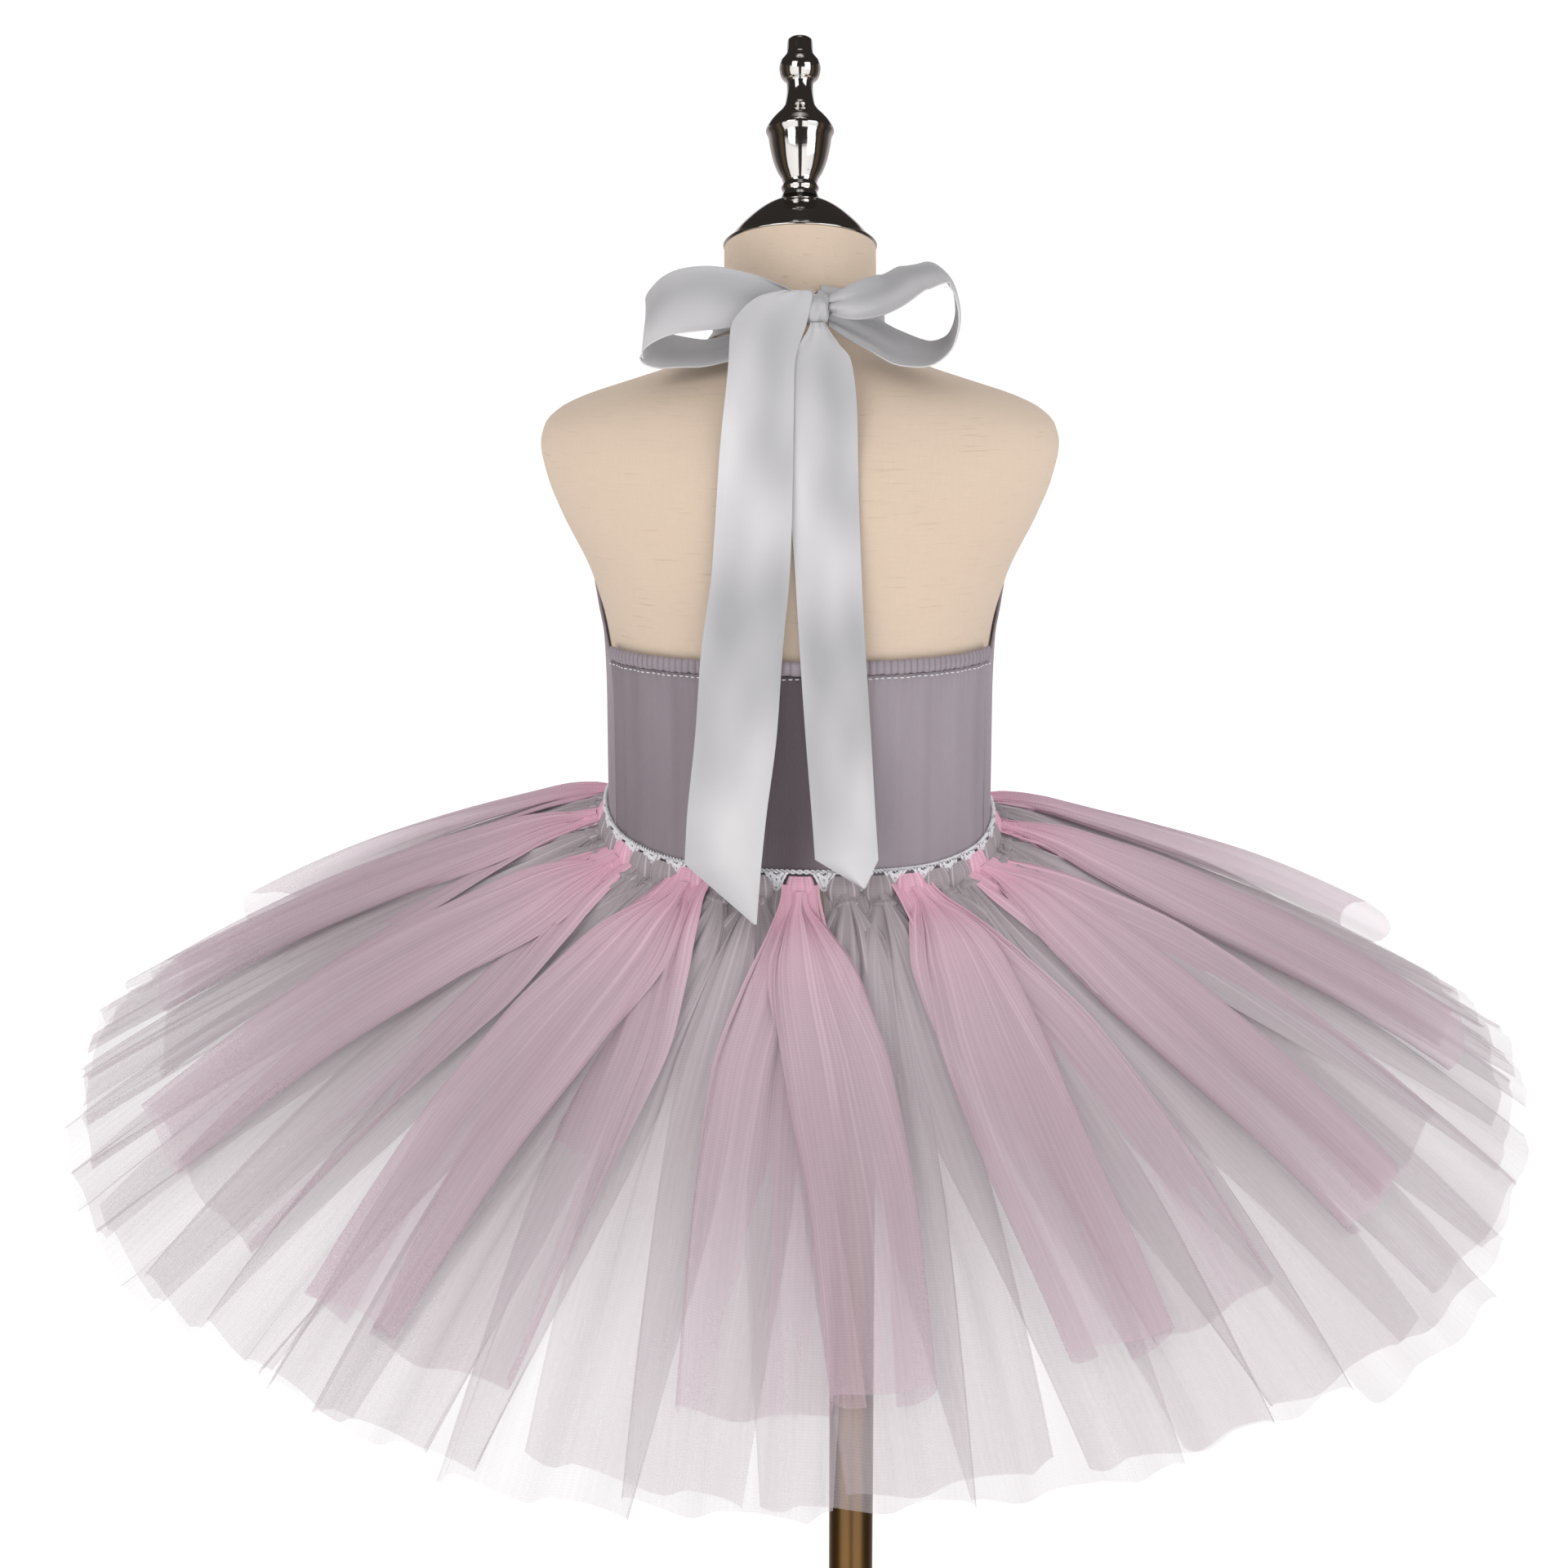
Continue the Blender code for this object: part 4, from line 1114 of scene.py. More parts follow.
@dataclass
class LaceEdging:
    """White crochet round the waist: a chained edge with a worked point between each two knots.

    A row of strands is a place on one of a point's four cords: across, and up from the chain.
    """

    body: Body
    cotton: bpy.types.Material
    teeth: int = 36
    chord: float = 2.4
    offset: float = 4.1
    cord: float = 0.78
    chain_cord: float = 0.62
    chain_steps: int = 720
    chain_turns: int = 150
    strands: tuple[Table, ...] = (
        (
            (-5.6, 0), (-3.472, -3.78), (-1.2, -8.73), (0, -9.72), (1.2, -8.73), (3.472, -3.78), (5.6, 0),
        ),
        ((-3.08, 0.2), (-1.68, -3.06), (0, -5.94), (1.68, -3.06), (3.08, 0.2)),
        ((-4.032, -0.6), (-1.6, -1.8), (1.6, -4.14), (0.4, -7.74)),
        ((4.032, -0.6), (1.6, -1.8), (-1.6, -4.14), (-0.4, -7.74)),
    )

    def motif(self) -> bpy.types.Object:
        """One crochet point, hanging from the origin, in metres."""
        work = Patchwork("lace_point")
        for number, strand in enumerate(self.strands):
            path = np.array(along_rows(strand, 5 * (len(strand) - 1) + 1))
            steps = np.arange(len(path))
            ahead = path[np.minimum(steps + 1, len(path) - 1)] - path[np.maximum(steps - 1, 0)]
            ahead /= np.linalg.norm(ahead, axis=1, keepdims=True)
            depth = np.full(len(path), 0.25 * (number % 2))
            centres = np.column_stack([path[:, 0], depth, path[:, 1]])
            aside = np.column_stack([-ahead[:, 1], 0.0 * depth, ahead[:, 0]])
            radii = self.cord * (1.15 + 0.22 * np.sin(2.1 * steps + number))
            work.add(tube(centres, aside, np.array([[0.0, 1.0, 0.0]]), radii, 5), closed=True)
        made = work.make(self.cotton)
        made.data.transform(Matrix.Translation(-Vector(placed(np.zeros(3)))))
        return made

    def carrier(self) -> bpy.types.Object:
        """A vertex for each point along the chain, with the direction that it faces."""
        turns = [(tooth + 0.5) * 360.0 / self.teeth for tooth in range(self.teeth)]
        heights = [self.body.waist_height(turn) - 0.6 * self.chord for turn in turns]
        spots = np.array([self.body.point(*spot, self.offset) for spot in zip(turns, heights)])
        facing = np.array([self.body.normal(turn, 0.0) for turn in turns], dtype=np.float32)
        mesh = bpy.data.meshes.new("lace_spots")
        mesh.from_pydata(placed(spots).tolist(), [], [])
        mesh.attributes.new("outward", "FLOAT_VECTOR", "POINT").data.foreach_set("vector", facing.ravel())
        return new_object("lace_spots", mesh)

    def points(self) -> None:
        """The worked points, all from one motif."""
        motif = self.motif()
        tree = Repeat("lace_points", self.cotton)
        worked, width = tree.size("Motif", "NodeSocketObject"), tree.size("Width share")
        source = tree.wire("GeometryNodeObjectInfo", None, {"Object": worked}, "Geometry")
        settings = {"data_type": "FLOAT_VECTOR"}
        outward = tree.wire("GeometryNodeInputNamedAttribute", settings, {"Name": "outward"})
        settings = {"axis": "Y", "pivot_axis": "Z"}
        turned = tree.wire("FunctionNodeAlignRotationToVector", settings, {"Vector": outward})
        size = tree.wire("ShaderNodeCombineXYZ", None, {"X": width, "Y": 1.0, "Z": 1.0})
        sockets = {
            "Points": tree.given.outputs[0],
            "Instance": source,
            "Rotation": turned,
            "Scale": size,
        }
        tree.end(sockets)
        made = tree.run("lace_points", self.carrier(), {"Motif": motif, "Width share": 1.0})
        bpy.data.objects.remove(motif)
        attach(made, Slot.LACE)

    def chain(self) -> None:
        """The chained edge along the waist, from two strands wound round each other."""
        work = Patchwork("lace_chain")
        angles = np.linspace(0.0, 360.0, self.chain_steps + 1)
        turns = np.radians(angles)
        outward = np.column_stack([np.sin(turns), -np.cos(turns), 0.0 * turns])
        skin = np.array([self.body.skin(angle, 0.0) for angle in angles])
        waist = np.array([self.body.waist_height(angle) for angle in angles])
        for strand in range(2):
            wind = math.pi * strand + self.chain_turns * turns
            centres = skin + outward * (self.offset + 0.7 * np.sin(wind))[:, None]
            centres[:, 2] = waist - 0.5 * self.chord + 0.8 * np.cos(wind)
            up = np.array([[0.0, 0.0, 1.0]])
            work.add(tube(centres, outward, up, np.array([self.chain_cord]), 5), closed=True)
        attach(work.make(self.cotton), Slot.LACE, ["waist_lace"])

    def build(self) -> None:
        """Builds the edging."""
        self.points()
        self.chain()


@dataclass
class Bow:
    """The satin ribbon: round the neck, the knot, two loops and two hanging ends.

    A row of a loop is a cut across it: x, out, height, width and how far its top edge leans
    back. A row of a tail is a height, its left and right edge and how far out each lies. A row
    of neck_ribbon is an angle from the back, a height and a width.
    """

    body: Body
    satin: bpy.types.Material
    width: float = 38.0
    thickness: float = 0.7
    flat_width: float = 34.0
    pleats_end: float = 200.0
    knot_height: float = 268.0
    across: int = 17
    knot_centre: tuple[float, float, float] = (7.0, -56.3, 258.0)
    knot_half: tuple[float, float, float] = (7.4, 8.0, 8.8)
    left_loop: Table = (
        (-0.6, 57, 260, 9, 0), (-12, 60, 262, 18, 10), (-27, 61.5, 263.5, 27, 20), (-44, 61, 264, 34, 28),
        (-60, 57, 262.5, 37, 35), (-73, 50, 257, 38, 42), (-80, 40.5, 248.5, 38, 50),
        (-79, 35, 240.5, 38, 58), (-69, 34, 235.5, 37, 66), (-53, 37, 234.5, 34, 70),
        (-35, 43, 238, 27, 62), (-17, 49.5, 246.5, 18, 40), (-0.6, 54, 254, 9, 10),
    )
    right_loop: Table = (
        (14.6, 57, 260, 9, 0), (27, 60, 262, 20, 25), (43, 60, 266.5, 30, 50), (57, 55.5, 273.5, 36, 70),
        (68, 51, 275.5, 38, 80), (77, 47.5, 268.5, 38, 85), (80, 46, 254, 38, 88),
        (76.5, 44.5, 241, 38, 84), (65, 43.5, 235, 38, 76), (50, 44.5, 238, 34, 64),
        (36, 47.5, 245.5, 26, 50), (24, 51, 251.5, 18, 25), (14.6, 54, 254.5, 9, 5),
    )
    left_tail: Table = (
        (268, -8, 4.5, 66.2, 65.3), (265.5, -20, 5.7, 68.2, 65.1), (258, -30.2, 4.5, 70, 65.1),
        (250, -35.1, 2.5, 71, 66), (230, -36.5, -3, 72, 69.8), (189.5, -40.7, -3.7, 77, 76),
        (150, -43.4, -4.5, 82, 81.5), (128, -45, -5.4, 84, 84), (87, -50.6, -9.1, 87, 87),
        (45, -53.7, -12.1, 88.5, 88.5), (3, -58.1, -17.5, 91.5, 91.5), (-20.5, -59.4, -20, 97.5, 98.5),
        (-49, -23.6, -22.4, 110, 110),
    )
    right_tail: Table = (
        (252, 5, 12, 64.2, 64.2), (248, 3.5, 14.5, 64.4, 64.6), (241, -1, 19.5, 65.8, 66.2),
        (234, -4.5, 25, 67, 67.5), (209.5, -4.9, 28.4, 70.8, 70.8), (169, -5.4, 29.3, 76.5, 76.5),
        (128, -2.9, 30.8, 81.5, 81.5), (87, -0.4, 33.1, 84.8, 84.8), (45, 2.5, 36, 86, 86),
        (3, 5.9, 38.5, 89, 89), (-18.6, 7.5, 39.9, 95.5, 95.5), (-32, 31.8, 33, 101, 101),
    )
    neck_ribbon: Table = (
        (14, 257, 12), (40, 254, 15), (75, 249, 18), (105, 243, 18), (128, 236.5, 14), (141, 232.6, 9),
    )

    def shares(self) -> np.ndarray:
        """Places across the ribbon, closer at its edges."""
        return np.sin(np.linspace(-0.5 * math.pi, 0.5 * math.pi, self.across))

    def ribbon(self, name: str, node: str, grid: np.ndarray) -> bpy.types.Object:
        """Makes a ribbon piece from its grid.

        Args:
            name: The piece's name.
            node: The CAD node that it stands for.
            grid: Its points, in millimetres.

        Returns:
            The piece.
        """
        shares = self.shares()
        along = np.linalg.norm(np.diff(grid[:, self.across // 2], axis=0), axis=-1)
        cloth = np.meshgrid(0.5 * self.width * MM * shares, np.append(0.0, np.cumsum(along)) * MM)
        selvedge = np.tile(np.clip(np.abs(shares) * 6.0 - 5.0, 0.0, 1.0), (len(grid), 1))
        traits = {"selvedge": selvedge}
        piece = one_grid(name, grid, self.satin, 70.0, cloth=tuple(cloth), traits=traits)
        thicken(piece, self.thickness, 0.0)
        attach(piece, Slot.SATIN, [node])
        LOG.info("%s: %.3f m long, %.5f m2", name, float(along.sum()) * MM, area_of(piece))
        return piece

    def loop(self, side: str, rows: Table, seed: float) -> None:
        """A loop of the bow, gathered into the knot at both ends."""
        cuts = along_rows(rows, 121)
        middles = [Vector((x, -out, height)) for x, out, height, _, _ in cuts]

        def spot(index: int, share: float) -> Vector:
            """A point at a share of a cut's width."""
            width, lean = cuts[index][3], math.radians(cuts[index][4])
            along = (middles[min(index + 1, len(cuts) - 1)] - middles[max(index - 1, 0)]).normalized()
            across = Vector((0.0, math.sin(lean), math.cos(lean)))
            across = (across - along * across.dot(along)).normalized()
            pleat = 1.3 * math.cos(7.0 * share + seed) + 0.5 * math.cos(15.0 * share)
            wave = 0.5 * math.sin(0.09 * index + 2.0 * share + seed)
            rise = 0.9 * (1.0 - share**2) + (1.0 - width / self.width) * pleat + wave
            return middles[index] + across * (0.5 * width * share) + along.cross(across).normalized() * rise

        grid = grid_of(range(len(cuts)), self.shares(), spot)
        piece = self.ribbon(f"loop_{side}", f"bow_loop_{side}", grid)

    def tail(self, side: str, rows: Table, length: float, seed: float) -> None:
        """A hanging end, cut on the slant."""
        last, tip = np.array(rows[-2:], dtype=float)
        cuts = along_rows(rows[:-1], 150)
        cuts += [last + (tip - last) * share for share in np.linspace(0.0, 1.0, 18)[1:]]

        def spot(index: int, share: float) -> tuple[float, float, float]:
            """A point at a share of a cut's width."""
            height, left, right, left_out, right_out = cuts[index]
            width = right - left
            gathered = max(0.0, 1.0 - width / self.flat_width) if height > self.pleats_end else 0.0
            t = 0.5 + 0.5 * share
            out = left_out + (right_out - left_out) * t + 1.2 * math.sin(math.pi * t)
            out += 1.1 * gathered * math.cos(8.0 * share + seed)
            sway = 0.8 * math.sin(height * 0.035 + 1.6 * share + seed)
            return left + width * t, -out - sway * min(1.0, (self.knot_height - height) / 60.0), height

        grid = grid_of(range(len(cuts)), self.shares(), spot)
        piece = self.ribbon(f"hanging_{side}", f"ribbon_tail_{side}", grid)

    def neck(self, side: str, sign: float) -> None:
        """The ribbon from the front casing round the neck to the knot."""

        def spot(angle: float, share: float) -> Vector:
            """A point at a share of the ribbon's width."""
            height, width = read(self.neck_ribbon, angle)
            lift = 2.475 + 0.275 * math.cos(9.0 * share + 0.02 * angle)
            return self.body.point(sign * angle, height + 0.5 * width * share, lift)

        angles = np.linspace(self.neck_ribbon[0][0], self.neck_ribbon[-1][0], 90)
        grid = grid_of(angles, self.shares(), spot)
        if sign < 0.0:
            grid = grid[:, ::-1]
        piece = self.ribbon(f"neck_band_{side}", f"ribbon_neck_{side}", grid)

    def knot(self) -> None:
        """The knot: a gathered wrap of ribbon over a full core."""

        def spot(level: float, turn: float) -> tuple[float, float, float]:
            """A point on the wrap."""
            girth = (1.0 - abs(level) ** 3.2) ** 0.5
            ridge = 0.07 * math.sin(6.0 * turn + 2.4 * level) + 0.04 * math.sin(13.0 * turn - 3.0 * level)
            x = girth * (1.0 + ridge) * signed_power(math.cos(turn), 0.8)
            y = girth * (1.0 + ridge) * signed_power(math.sin(turn), 0.8)
            return x, y, level

        turns = -2.0 * np.pi * np.arange(56) / 56
        grid = grid_of(np.linspace(-0.985, 0.985, 33), turns, spot) * self.knot_half + self.knot_centre
        grid[..., 2] += 0.9 * np.sin(2.0 * turns + 1.0)
        plain = {"selvedge": np.zeros(grid.shape[:2])}
        wrap = one_grid("bow_centre", grid, self.satin, 80.0, closed=True, turned=True, traits=plain)
        attach(wrap, Slot.SATIN, ["bow_knot"])

    def build(self) -> None:
        """Builds the bow."""
        self.knot()
        self.loop("left", self.left_loop, 0.4)
        self.loop("right", self.right_loop, 1.9)
        self.tail("left", self.left_tail, 0.36, 0.3)
        self.tail("right", self.right_tail, 0.31, 2.0)
        self.neck("left", -1.0)
        self.neck("right", 1.0)


class Tone(Enum):
    """The two colours of tulle."""

    GREY = "grey"
    PINK = "pink"


@dataclass(frozen=True)
class Tail:
    """One end of a knotted strip.

    Its root and hem are angles from the back. It leaves the knot at near_lift and lies at lift,
    over the skirt's surface, and it bulges and rolls to its side: 1 is up and -1 is down.
    """

    root: float
    hem: float
    length: float
    lift: float
    near_lift: float
    side: float
    wide: float
    seed: float
    table: Table


@dataclass
class TulleSkirt:
    """Thirty-six strips of tulle, each knotted on the waist with two ends that fan out.

    The tables flat_fan, backing, rolled and half_rolled describe a tail. A row is a cut across
    it: along, half width, share fanned towards the hem, bundle's height, share rolled and wave.
    A wrap is its half width and how far it stands out. The rows of cover and dense go from the
    knot, 0, to the hem, 1, and those of slope from the back, in degrees below the level. Down
    a tail, crowding sets its rows closer near the knot, its own width shows from opened on, it
    lies at its own lift from settled on, and its pleats are deepest between gather_starts and
    gather_fade.
    """

    body: Body
    grey: bpy.types.Material
    pink: bpy.types.Material
    spread: tuple[float, float] = (291.0, 211.0)
    knot_offset: float = 7.0
    knot_drop: float = 14.5
    crown: tuple[float, float] = (4.0, 10.0)
    grey_length: float = 325.0
    pink_length: float = 272.0
    cut_width: float = 0.100
    in_knot: float = 0.03
    edge_width: float = 0.0012
    tucked: float = 5.0
    grey_wrap: tuple[float, float] = (6.4, 0.8)
    pink_wrap: tuple[float, float] = (4.9, 1.5)
    loop_bottom: float = -5.0
    loop_height: float = 16.0
    side_drop: float = 0.45
    # How much more opaque the right side's net is made, as painted shade.
    painted_side_shade: float = 0.17
    cover: Table = (
        (0, 0.99), (0.08, 0.97), (0.20, 0.90), (0.35, 0.79), (0.50, 0.65), (0.70, 0.48), (0.85, 0.40),
        (1, 0.37),
    )
    dense: Table = ((0, 1), (0.05, 0.80), (0.14, 0.34), (0.30, 0.08), (1, 0))
    rows: int = 46
    columns: int = 43
    crowding: float = 1.25
    opened: float = 110.0
    settled: float = 42.0
    pleats: float = 4.5
    pleat_starts: float = 18.0
    pleat_depth: tuple[float, float] = (0.45, 2.5)
    gather_starts: float = 24.0
    gather_fade: float = 64.0
    slope: Table = (
        (0, 49.5), (45, 38.3), (70, 30), (90, 26.2), (112, 23.5), (130, 26), (152, 38), (180, 48.5),
    )
    flat_fan: Table = (
        (0, 5.2, 0, 3.4, 0, 0), (6, 6.4, 0, 3.2, 0, 0), (11, 9, 0.02, 3, 0, 0.2),
        (22, 15.5, 0.10, 3, 0, 0.6), (56, 28.5, 0.42, 2.4, 0.1, 1.3), (110, 41, 0.80, 2, 0.2, 2.4),
        (200, 49, 0.97, 1.5, 0.3, 3.8), (340, 51, 1, 1, 0.35, 5.5),
    )
    backing: Table = (
        (0, 12.5, 0, 1.6, 0, 0), (6, 13, 0, 1.6, 0, 0), (11, 14, 0.02, 1.8, 0, 0.2),
        (22, 19, 0.10, 2, 0, 0.6), (56, 29.5, 0.42, 2, 0.1, 1.3), (110, 43, 0.80, 2, 0.2, 2.4),
        (200, 50, 0.97, 1.5, 0.3, 3.8), (340, 52, 1, 1, 0.35, 5.5),
    )
    rolled: Table = (
        (0, 4.2, 0, 3.4, 0, 0), (6, 4.8, 0, 3.4, 0, 0), (11, 7.4, 0, 3.4, 0.05, 0.2),
        (22, 14, 0.1, 4, 0.20, 0.6), (56, 25, 0.4, 5, 0.40, 1.2), (110, 28.5, 0.8, 7, 0.66, 1.6),
        (190, 26.5, 1, 9.5, 0.90, 1.6), (290, 25, 1, 11, 1, 1.6),
    )
    half_rolled: Table = (
        (0, 13, 0, 1.6, 0, 0), (6, 14, 0, 1.6, 0, 0), (11, 15.5, 0.02, 2, 0, 0.2),
        (22, 19, 0.10, 2.4, 0, 0.6), (56, 28, 0.42, 2.6, 0.12, 1.3), (110, 37, 0.80, 3.6, 0.30, 2.4),
        (200, 40, 0.97, 5.5, 0.48, 3.2), (340, 41, 1, 7, 0.56, 4),
    )

    def __post_init__(self) -> None:
        """Works out the skirt's surface once for each half degree."""
        self.angles = np.arange(0.0, 360.0, 0.5)
        self.roots = np.array([tuple(self.body.point(a, 0.0, self.knot_offset)) for a in self.angles])
        self.roots[:, 2] = [self.body.waist_height(a) - self.knot_drop for a in self.angles]
        self.falls = np.array([math.radians(read(self.slope, folded(a))[0]) for a in self.angles])

    def surface(self, angle: np.ndarray, along: np.ndarray, lift: np.ndarray, length: float) -> np.ndarray:
        """Points on the skirt.

        Args:
            angle: Round the body from the back, in degrees.
            along: Down the fall from the knot, in millimetres.
            lift: Above the skirt's surface.
            length: The strip's length, over which its crown rises and falls.

        Returns:
            The points, in millimetres.
        """
        columns = [np.interp(angle, self.angles, column, period=360.0) for column in self.roots.T]
        root = np.stack(columns, -1)
        fall = np.interp(angle, self.angles, self.falls, period=360.0)
        turn = np.radians(angle)
        outward = np.stack([self.spread[0] * np.sin(turn), -self.spread[1] * np.cos(turn), 0.0 * turn], -1)
        outward /= np.linalg.norm(outward, axis=-1, keepdims=True)
        up = np.array([0.0, 0.0, 1.0])
        down = outward * np.cos(fall)[..., None] - up * np.sin(fall)[..., None]
        normal = outward * np.sin(fall)[..., None] + up * np.cos(fall)[..., None]
        from_back = np.abs((angle + 180.0) % 360.0 - 180.0)
        sideways = np.sin(np.radians(np.minimum(from_back, 180.0 - from_back)))
        crown = self.crown[0] + (self.crown[1] - self.crown[0]) * sideways
        share = np.clip(along / length, 0.0, 1.0)
        rise = crown * np.sin(np.pi * share) ** 0.8
        return root + down * along[..., None] + normal * (lift + rise)[..., None]

    def per_degree(self, angle: np.ndarray, along: np.ndarray, full: float) -> np.ndarray:
        """How many millimetres a degree is worth at places on the skirt."""
        sides = [self.surface(angle + step, along, np.zeros_like(along), full) for step in (-1.0, 1.0)]
        return 0.5 * np.linalg.norm(sides[1] - sides[0], axis=-1)

    def add_tail(self, work: Patchwork, tail: Tail, full: float) -> None:
        """Adds one end of a strip: a bundle at the knot that opens to its hem.

        Args:
            work: The strip's grids.
            tail: The end.
            full: The length that the skirt's crown is set on.
        """
        start = 0.0 if tail.side > 0.0 else -self.tucked
        along = start + (tail.length - start) * np.linspace(0.0, 1.0, self.rows) ** self.crowding
        t = np.linspace(-1.0, 1.0, self.columns)
        half, fanned, bundle, roll, wave = (column_of(tail.table, along, k) for k in range(5))
        half = half * (1.0 + (tail.wide - 1.0) * np.clip(along / self.opened, 0.0, 1.0))
        centre = tail.root + (tail.hem - tail.root) * fanned
        turn = t[None] * np.pi * (0.5 + 0.42 * roll)[:, None]
        folds = 0.16 * np.sin(2.0 * np.pi * (1.3 * t + tail.seed))[None] * (1.0 - roll)[:, None]
        flat = t[None] + folds
        wide = flat * (1.0 - roll)[:, None] + np.sin(turn) * roll[:, None]
        aside = half[:, None] * wide
        puff = bundle[:, None] * (np.cos(turn) + roll[:, None] * 0.9)
        near = np.exp(-along / self.gather_fade) * np.clip(along / self.gather_starts, 0.0, 1.0)
        depth = self.pleat_depth[0] + self.pleat_depth[1] * near
        depth *= np.clip(along / self.pleat_starts, 0.0, 1.0)
        uneven = 0.22 * np.sin(5.0 * t + 7.0 * tail.seed) + 1.7 * tail.seed
        pleats = depth[:, None] * np.sin(2.0 * np.pi * (self.pleats * t + uneven))[None]
        waves = wave[:, None] * lumpy(1.15 * t[None] + 0.0016 * along[:, None], 6.0 * tail.seed)
        ease = np.clip(along / self.settled, 0.0, 1.0)
        ease = ease * ease * (3.0 - 2.0 * ease)
        steep = 1.0 - self.side_drop * math.sin(math.radians(tail.root)) ** 2
        base = (tail.near_lift + (tail.lift - tail.near_lift) * ease) * steep
        lift = base[:, None] + tail.side * puff + waves + pleats * (0.75 - 0.25 * roll[:, None])
        angle = centre[:, None] + aside / self.per_degree(centre, along, full)[:, None]
        skew = 1.0 + 0.012 * math.sin(9.0 * tail.seed) * t + 0.006 * np.sin(7.0 * t + 5.0 * tail.seed)
        grid = self.surface(angle, along[:, None] * skew[None], lift, full)
        share = np.clip(along / tail.length, 0.0, 1.0)
        to_edge = (1.0 - np.abs(t)) * 0.5 * self.cut_width / self.edge_width
        # Painted shade: the net is made more opaque on the right side, so it looks darker there, and less
        # so on the left, more towards the hem.
        side_shade = 1.0 + self.painted_side_shade * math.sin(math.radians(tail.root)) * share
        traits = {
            "cover": np.tile((column_of(self.cover, share) * side_shade)[:, None], (1, self.columns)),
            "dense": np.tile(column_of(self.dense, share)[:, None], (1, self.columns)),
            "edge": np.tile(np.clip(1.0 - to_edge, 0.0, 1.0)[None], (self.rows, 1)),
            "broad": 0.5 + 0.42 * lumpy(1.9 * t[None] + 0.0022 * along[:, None], 9.0 * tail.seed),
        }
        u = 0.5 * self.cut_width * t + 0.31 * tail.seed
        work.add(grid, cloth=tuple(np.meshgrid(u, along * MM)), traits=traits)

    def add_knot(self, work: Patchwork, root: float, tone: Tone, full: float) -> None:
        """Adds the wrap round a strip's neck and the loop that goes up between two lace points.

        Args:
            work: The strip's grids.
            root: The knot's angle.
            tone: The strip's colour; pink wraps are narrower and stand further out.
            full: The length that the skirt's crown is set on.
        """
        degree = float(self.per_degree(np.array([root]), np.array([4.0]), full)[0])
        wrap, lift = self.pink_wrap if tone is Tone.PINK else self.grey_wrap
        turn = np.linspace(-2.2, 2.2, 19)[None]
        down = np.linspace(2.2, 8.6, 11)[:, None]
        shape = np.sin(np.linspace(0.25, math.pi - 0.25, 11))[:, None] ** 0.5
        ridges = 0.25 * np.sin(np.linspace(0.0, 4.0 * math.pi, 11))[:, None]
        angle = root + (wrap * shape + ridges) * np.sin(turn) / degree
        rise = lift + (4.4 * shape + ridges) * np.cos(turn)
        grids = [self.surface(angle, down + 1.1 * np.sin(1.2 * turn + root), rise, full)]

        def spot(share: float, t: float) -> Vector:
            """A point of the loop, at a share of its height and a place across from -1 to 1."""
            half = 4.8 + 4.3 * math.sin(math.pi * min(1.0, 0.12 + 0.80 * share)) ** 0.7
            plump = 4.4 * math.sin(math.pi * (0.10 + 0.86 * share)) ** 0.8
            pleat = 0.42 * math.cos(14.0 * t + root) * (1.0 - 0.75 * share)
            out = 3.9 + lift * (1.0 - share) + plump * math.cos(1.45 * t) + pleat
            angle = root + half * math.sin(1.45 * t) / degree
            height = self.body.waist_height(angle) - self.knot_drop
            return self.body.point(angle, height + self.loop_bottom + self.loop_height * share, out)

        grids.append(grid_of(np.linspace(0.0, 1.0, 15), np.linspace(-1.0, 1.0, 17), spot))
        full_traits = {"cover": 0.985, "dense": 1.0, "edge": 0.0, "broad": 0.5}
        for grid in grids:
            traits = {name: np.full(grid.shape[:2], value) for name, value in full_traits.items()}
            work.add(grid, traits=traits)

    def strip(self, tone: Tone, number: int, root: float, hem: float, scale: float) -> None:
        """One knotted strip. The first pink one's ends lie the other way round, over the pole.

        Args:
            tone: Its colour.
            number: Its number, from 0.
            root: Its knot's angle.
            hem: The middle of its hem.
            scale: Its length against the usual one.
        """
        draw = random.Random(100 * number + (7 if tone is Tone.PINK else 3))
        name = f"{tone.value}_{number + 1:02d}"
        work = Patchwork(f"strip_{name}")
        if tone is Tone.PINK:
            full, lift, finish, slot = self.pink_length, 10.5, self.pink, Slot.TULLE_PINK
            ends = [(self.rolled, -4.6, 1.0, lift, 4.2), (self.half_rolled, 5.4, -1.0, 10.0, 6.2)]
        else:
            full, lift, finish, slot = self.grey_length, 0.0, self.grey, Slot.TULLE_GREY
            ends = [(self.flat_fan, -3.6, 1.0, 0.5, 1.4), (self.backing, 3.6, -1.0, -2.5, 1.2)]
        length = full * scale
        swapped = tone is Tone.PINK and number == 0
        for table, aside, side, high, near in ends:
            seed = draw.random()
            own = length * (0.968 + 0.05 * draw.random())
            where = hem + aside * (0.55 + 0.95 * draw.random()) * (-1.0 if swapped else 1.0)
            wide = 0.95 + 0.10 * draw.random()
            self.add_tail(work, Tail(root, where, own, high, near, side, wide, seed, table), full)
        self.add_knot(work, root, tone, full)
        piece = attach(work.make(finish, 180.0), slot, [f"tulle_{name}"])
        flat = (self.cut_width, 2.0 * length * MM + self.in_knot)
        LOG.info("%s: %.4f m2 of %.4f", piece.name, area_of(piece), flat[0] * flat[1])

    @staticmethod
    def length_share(number: int) -> float:
        """Strips were cut by hand, so their lengths differ a little."""
        return 1.0 + 0.022 * math.sin(2.4 * number) - 0.012 * math.cos(5.1 * number)

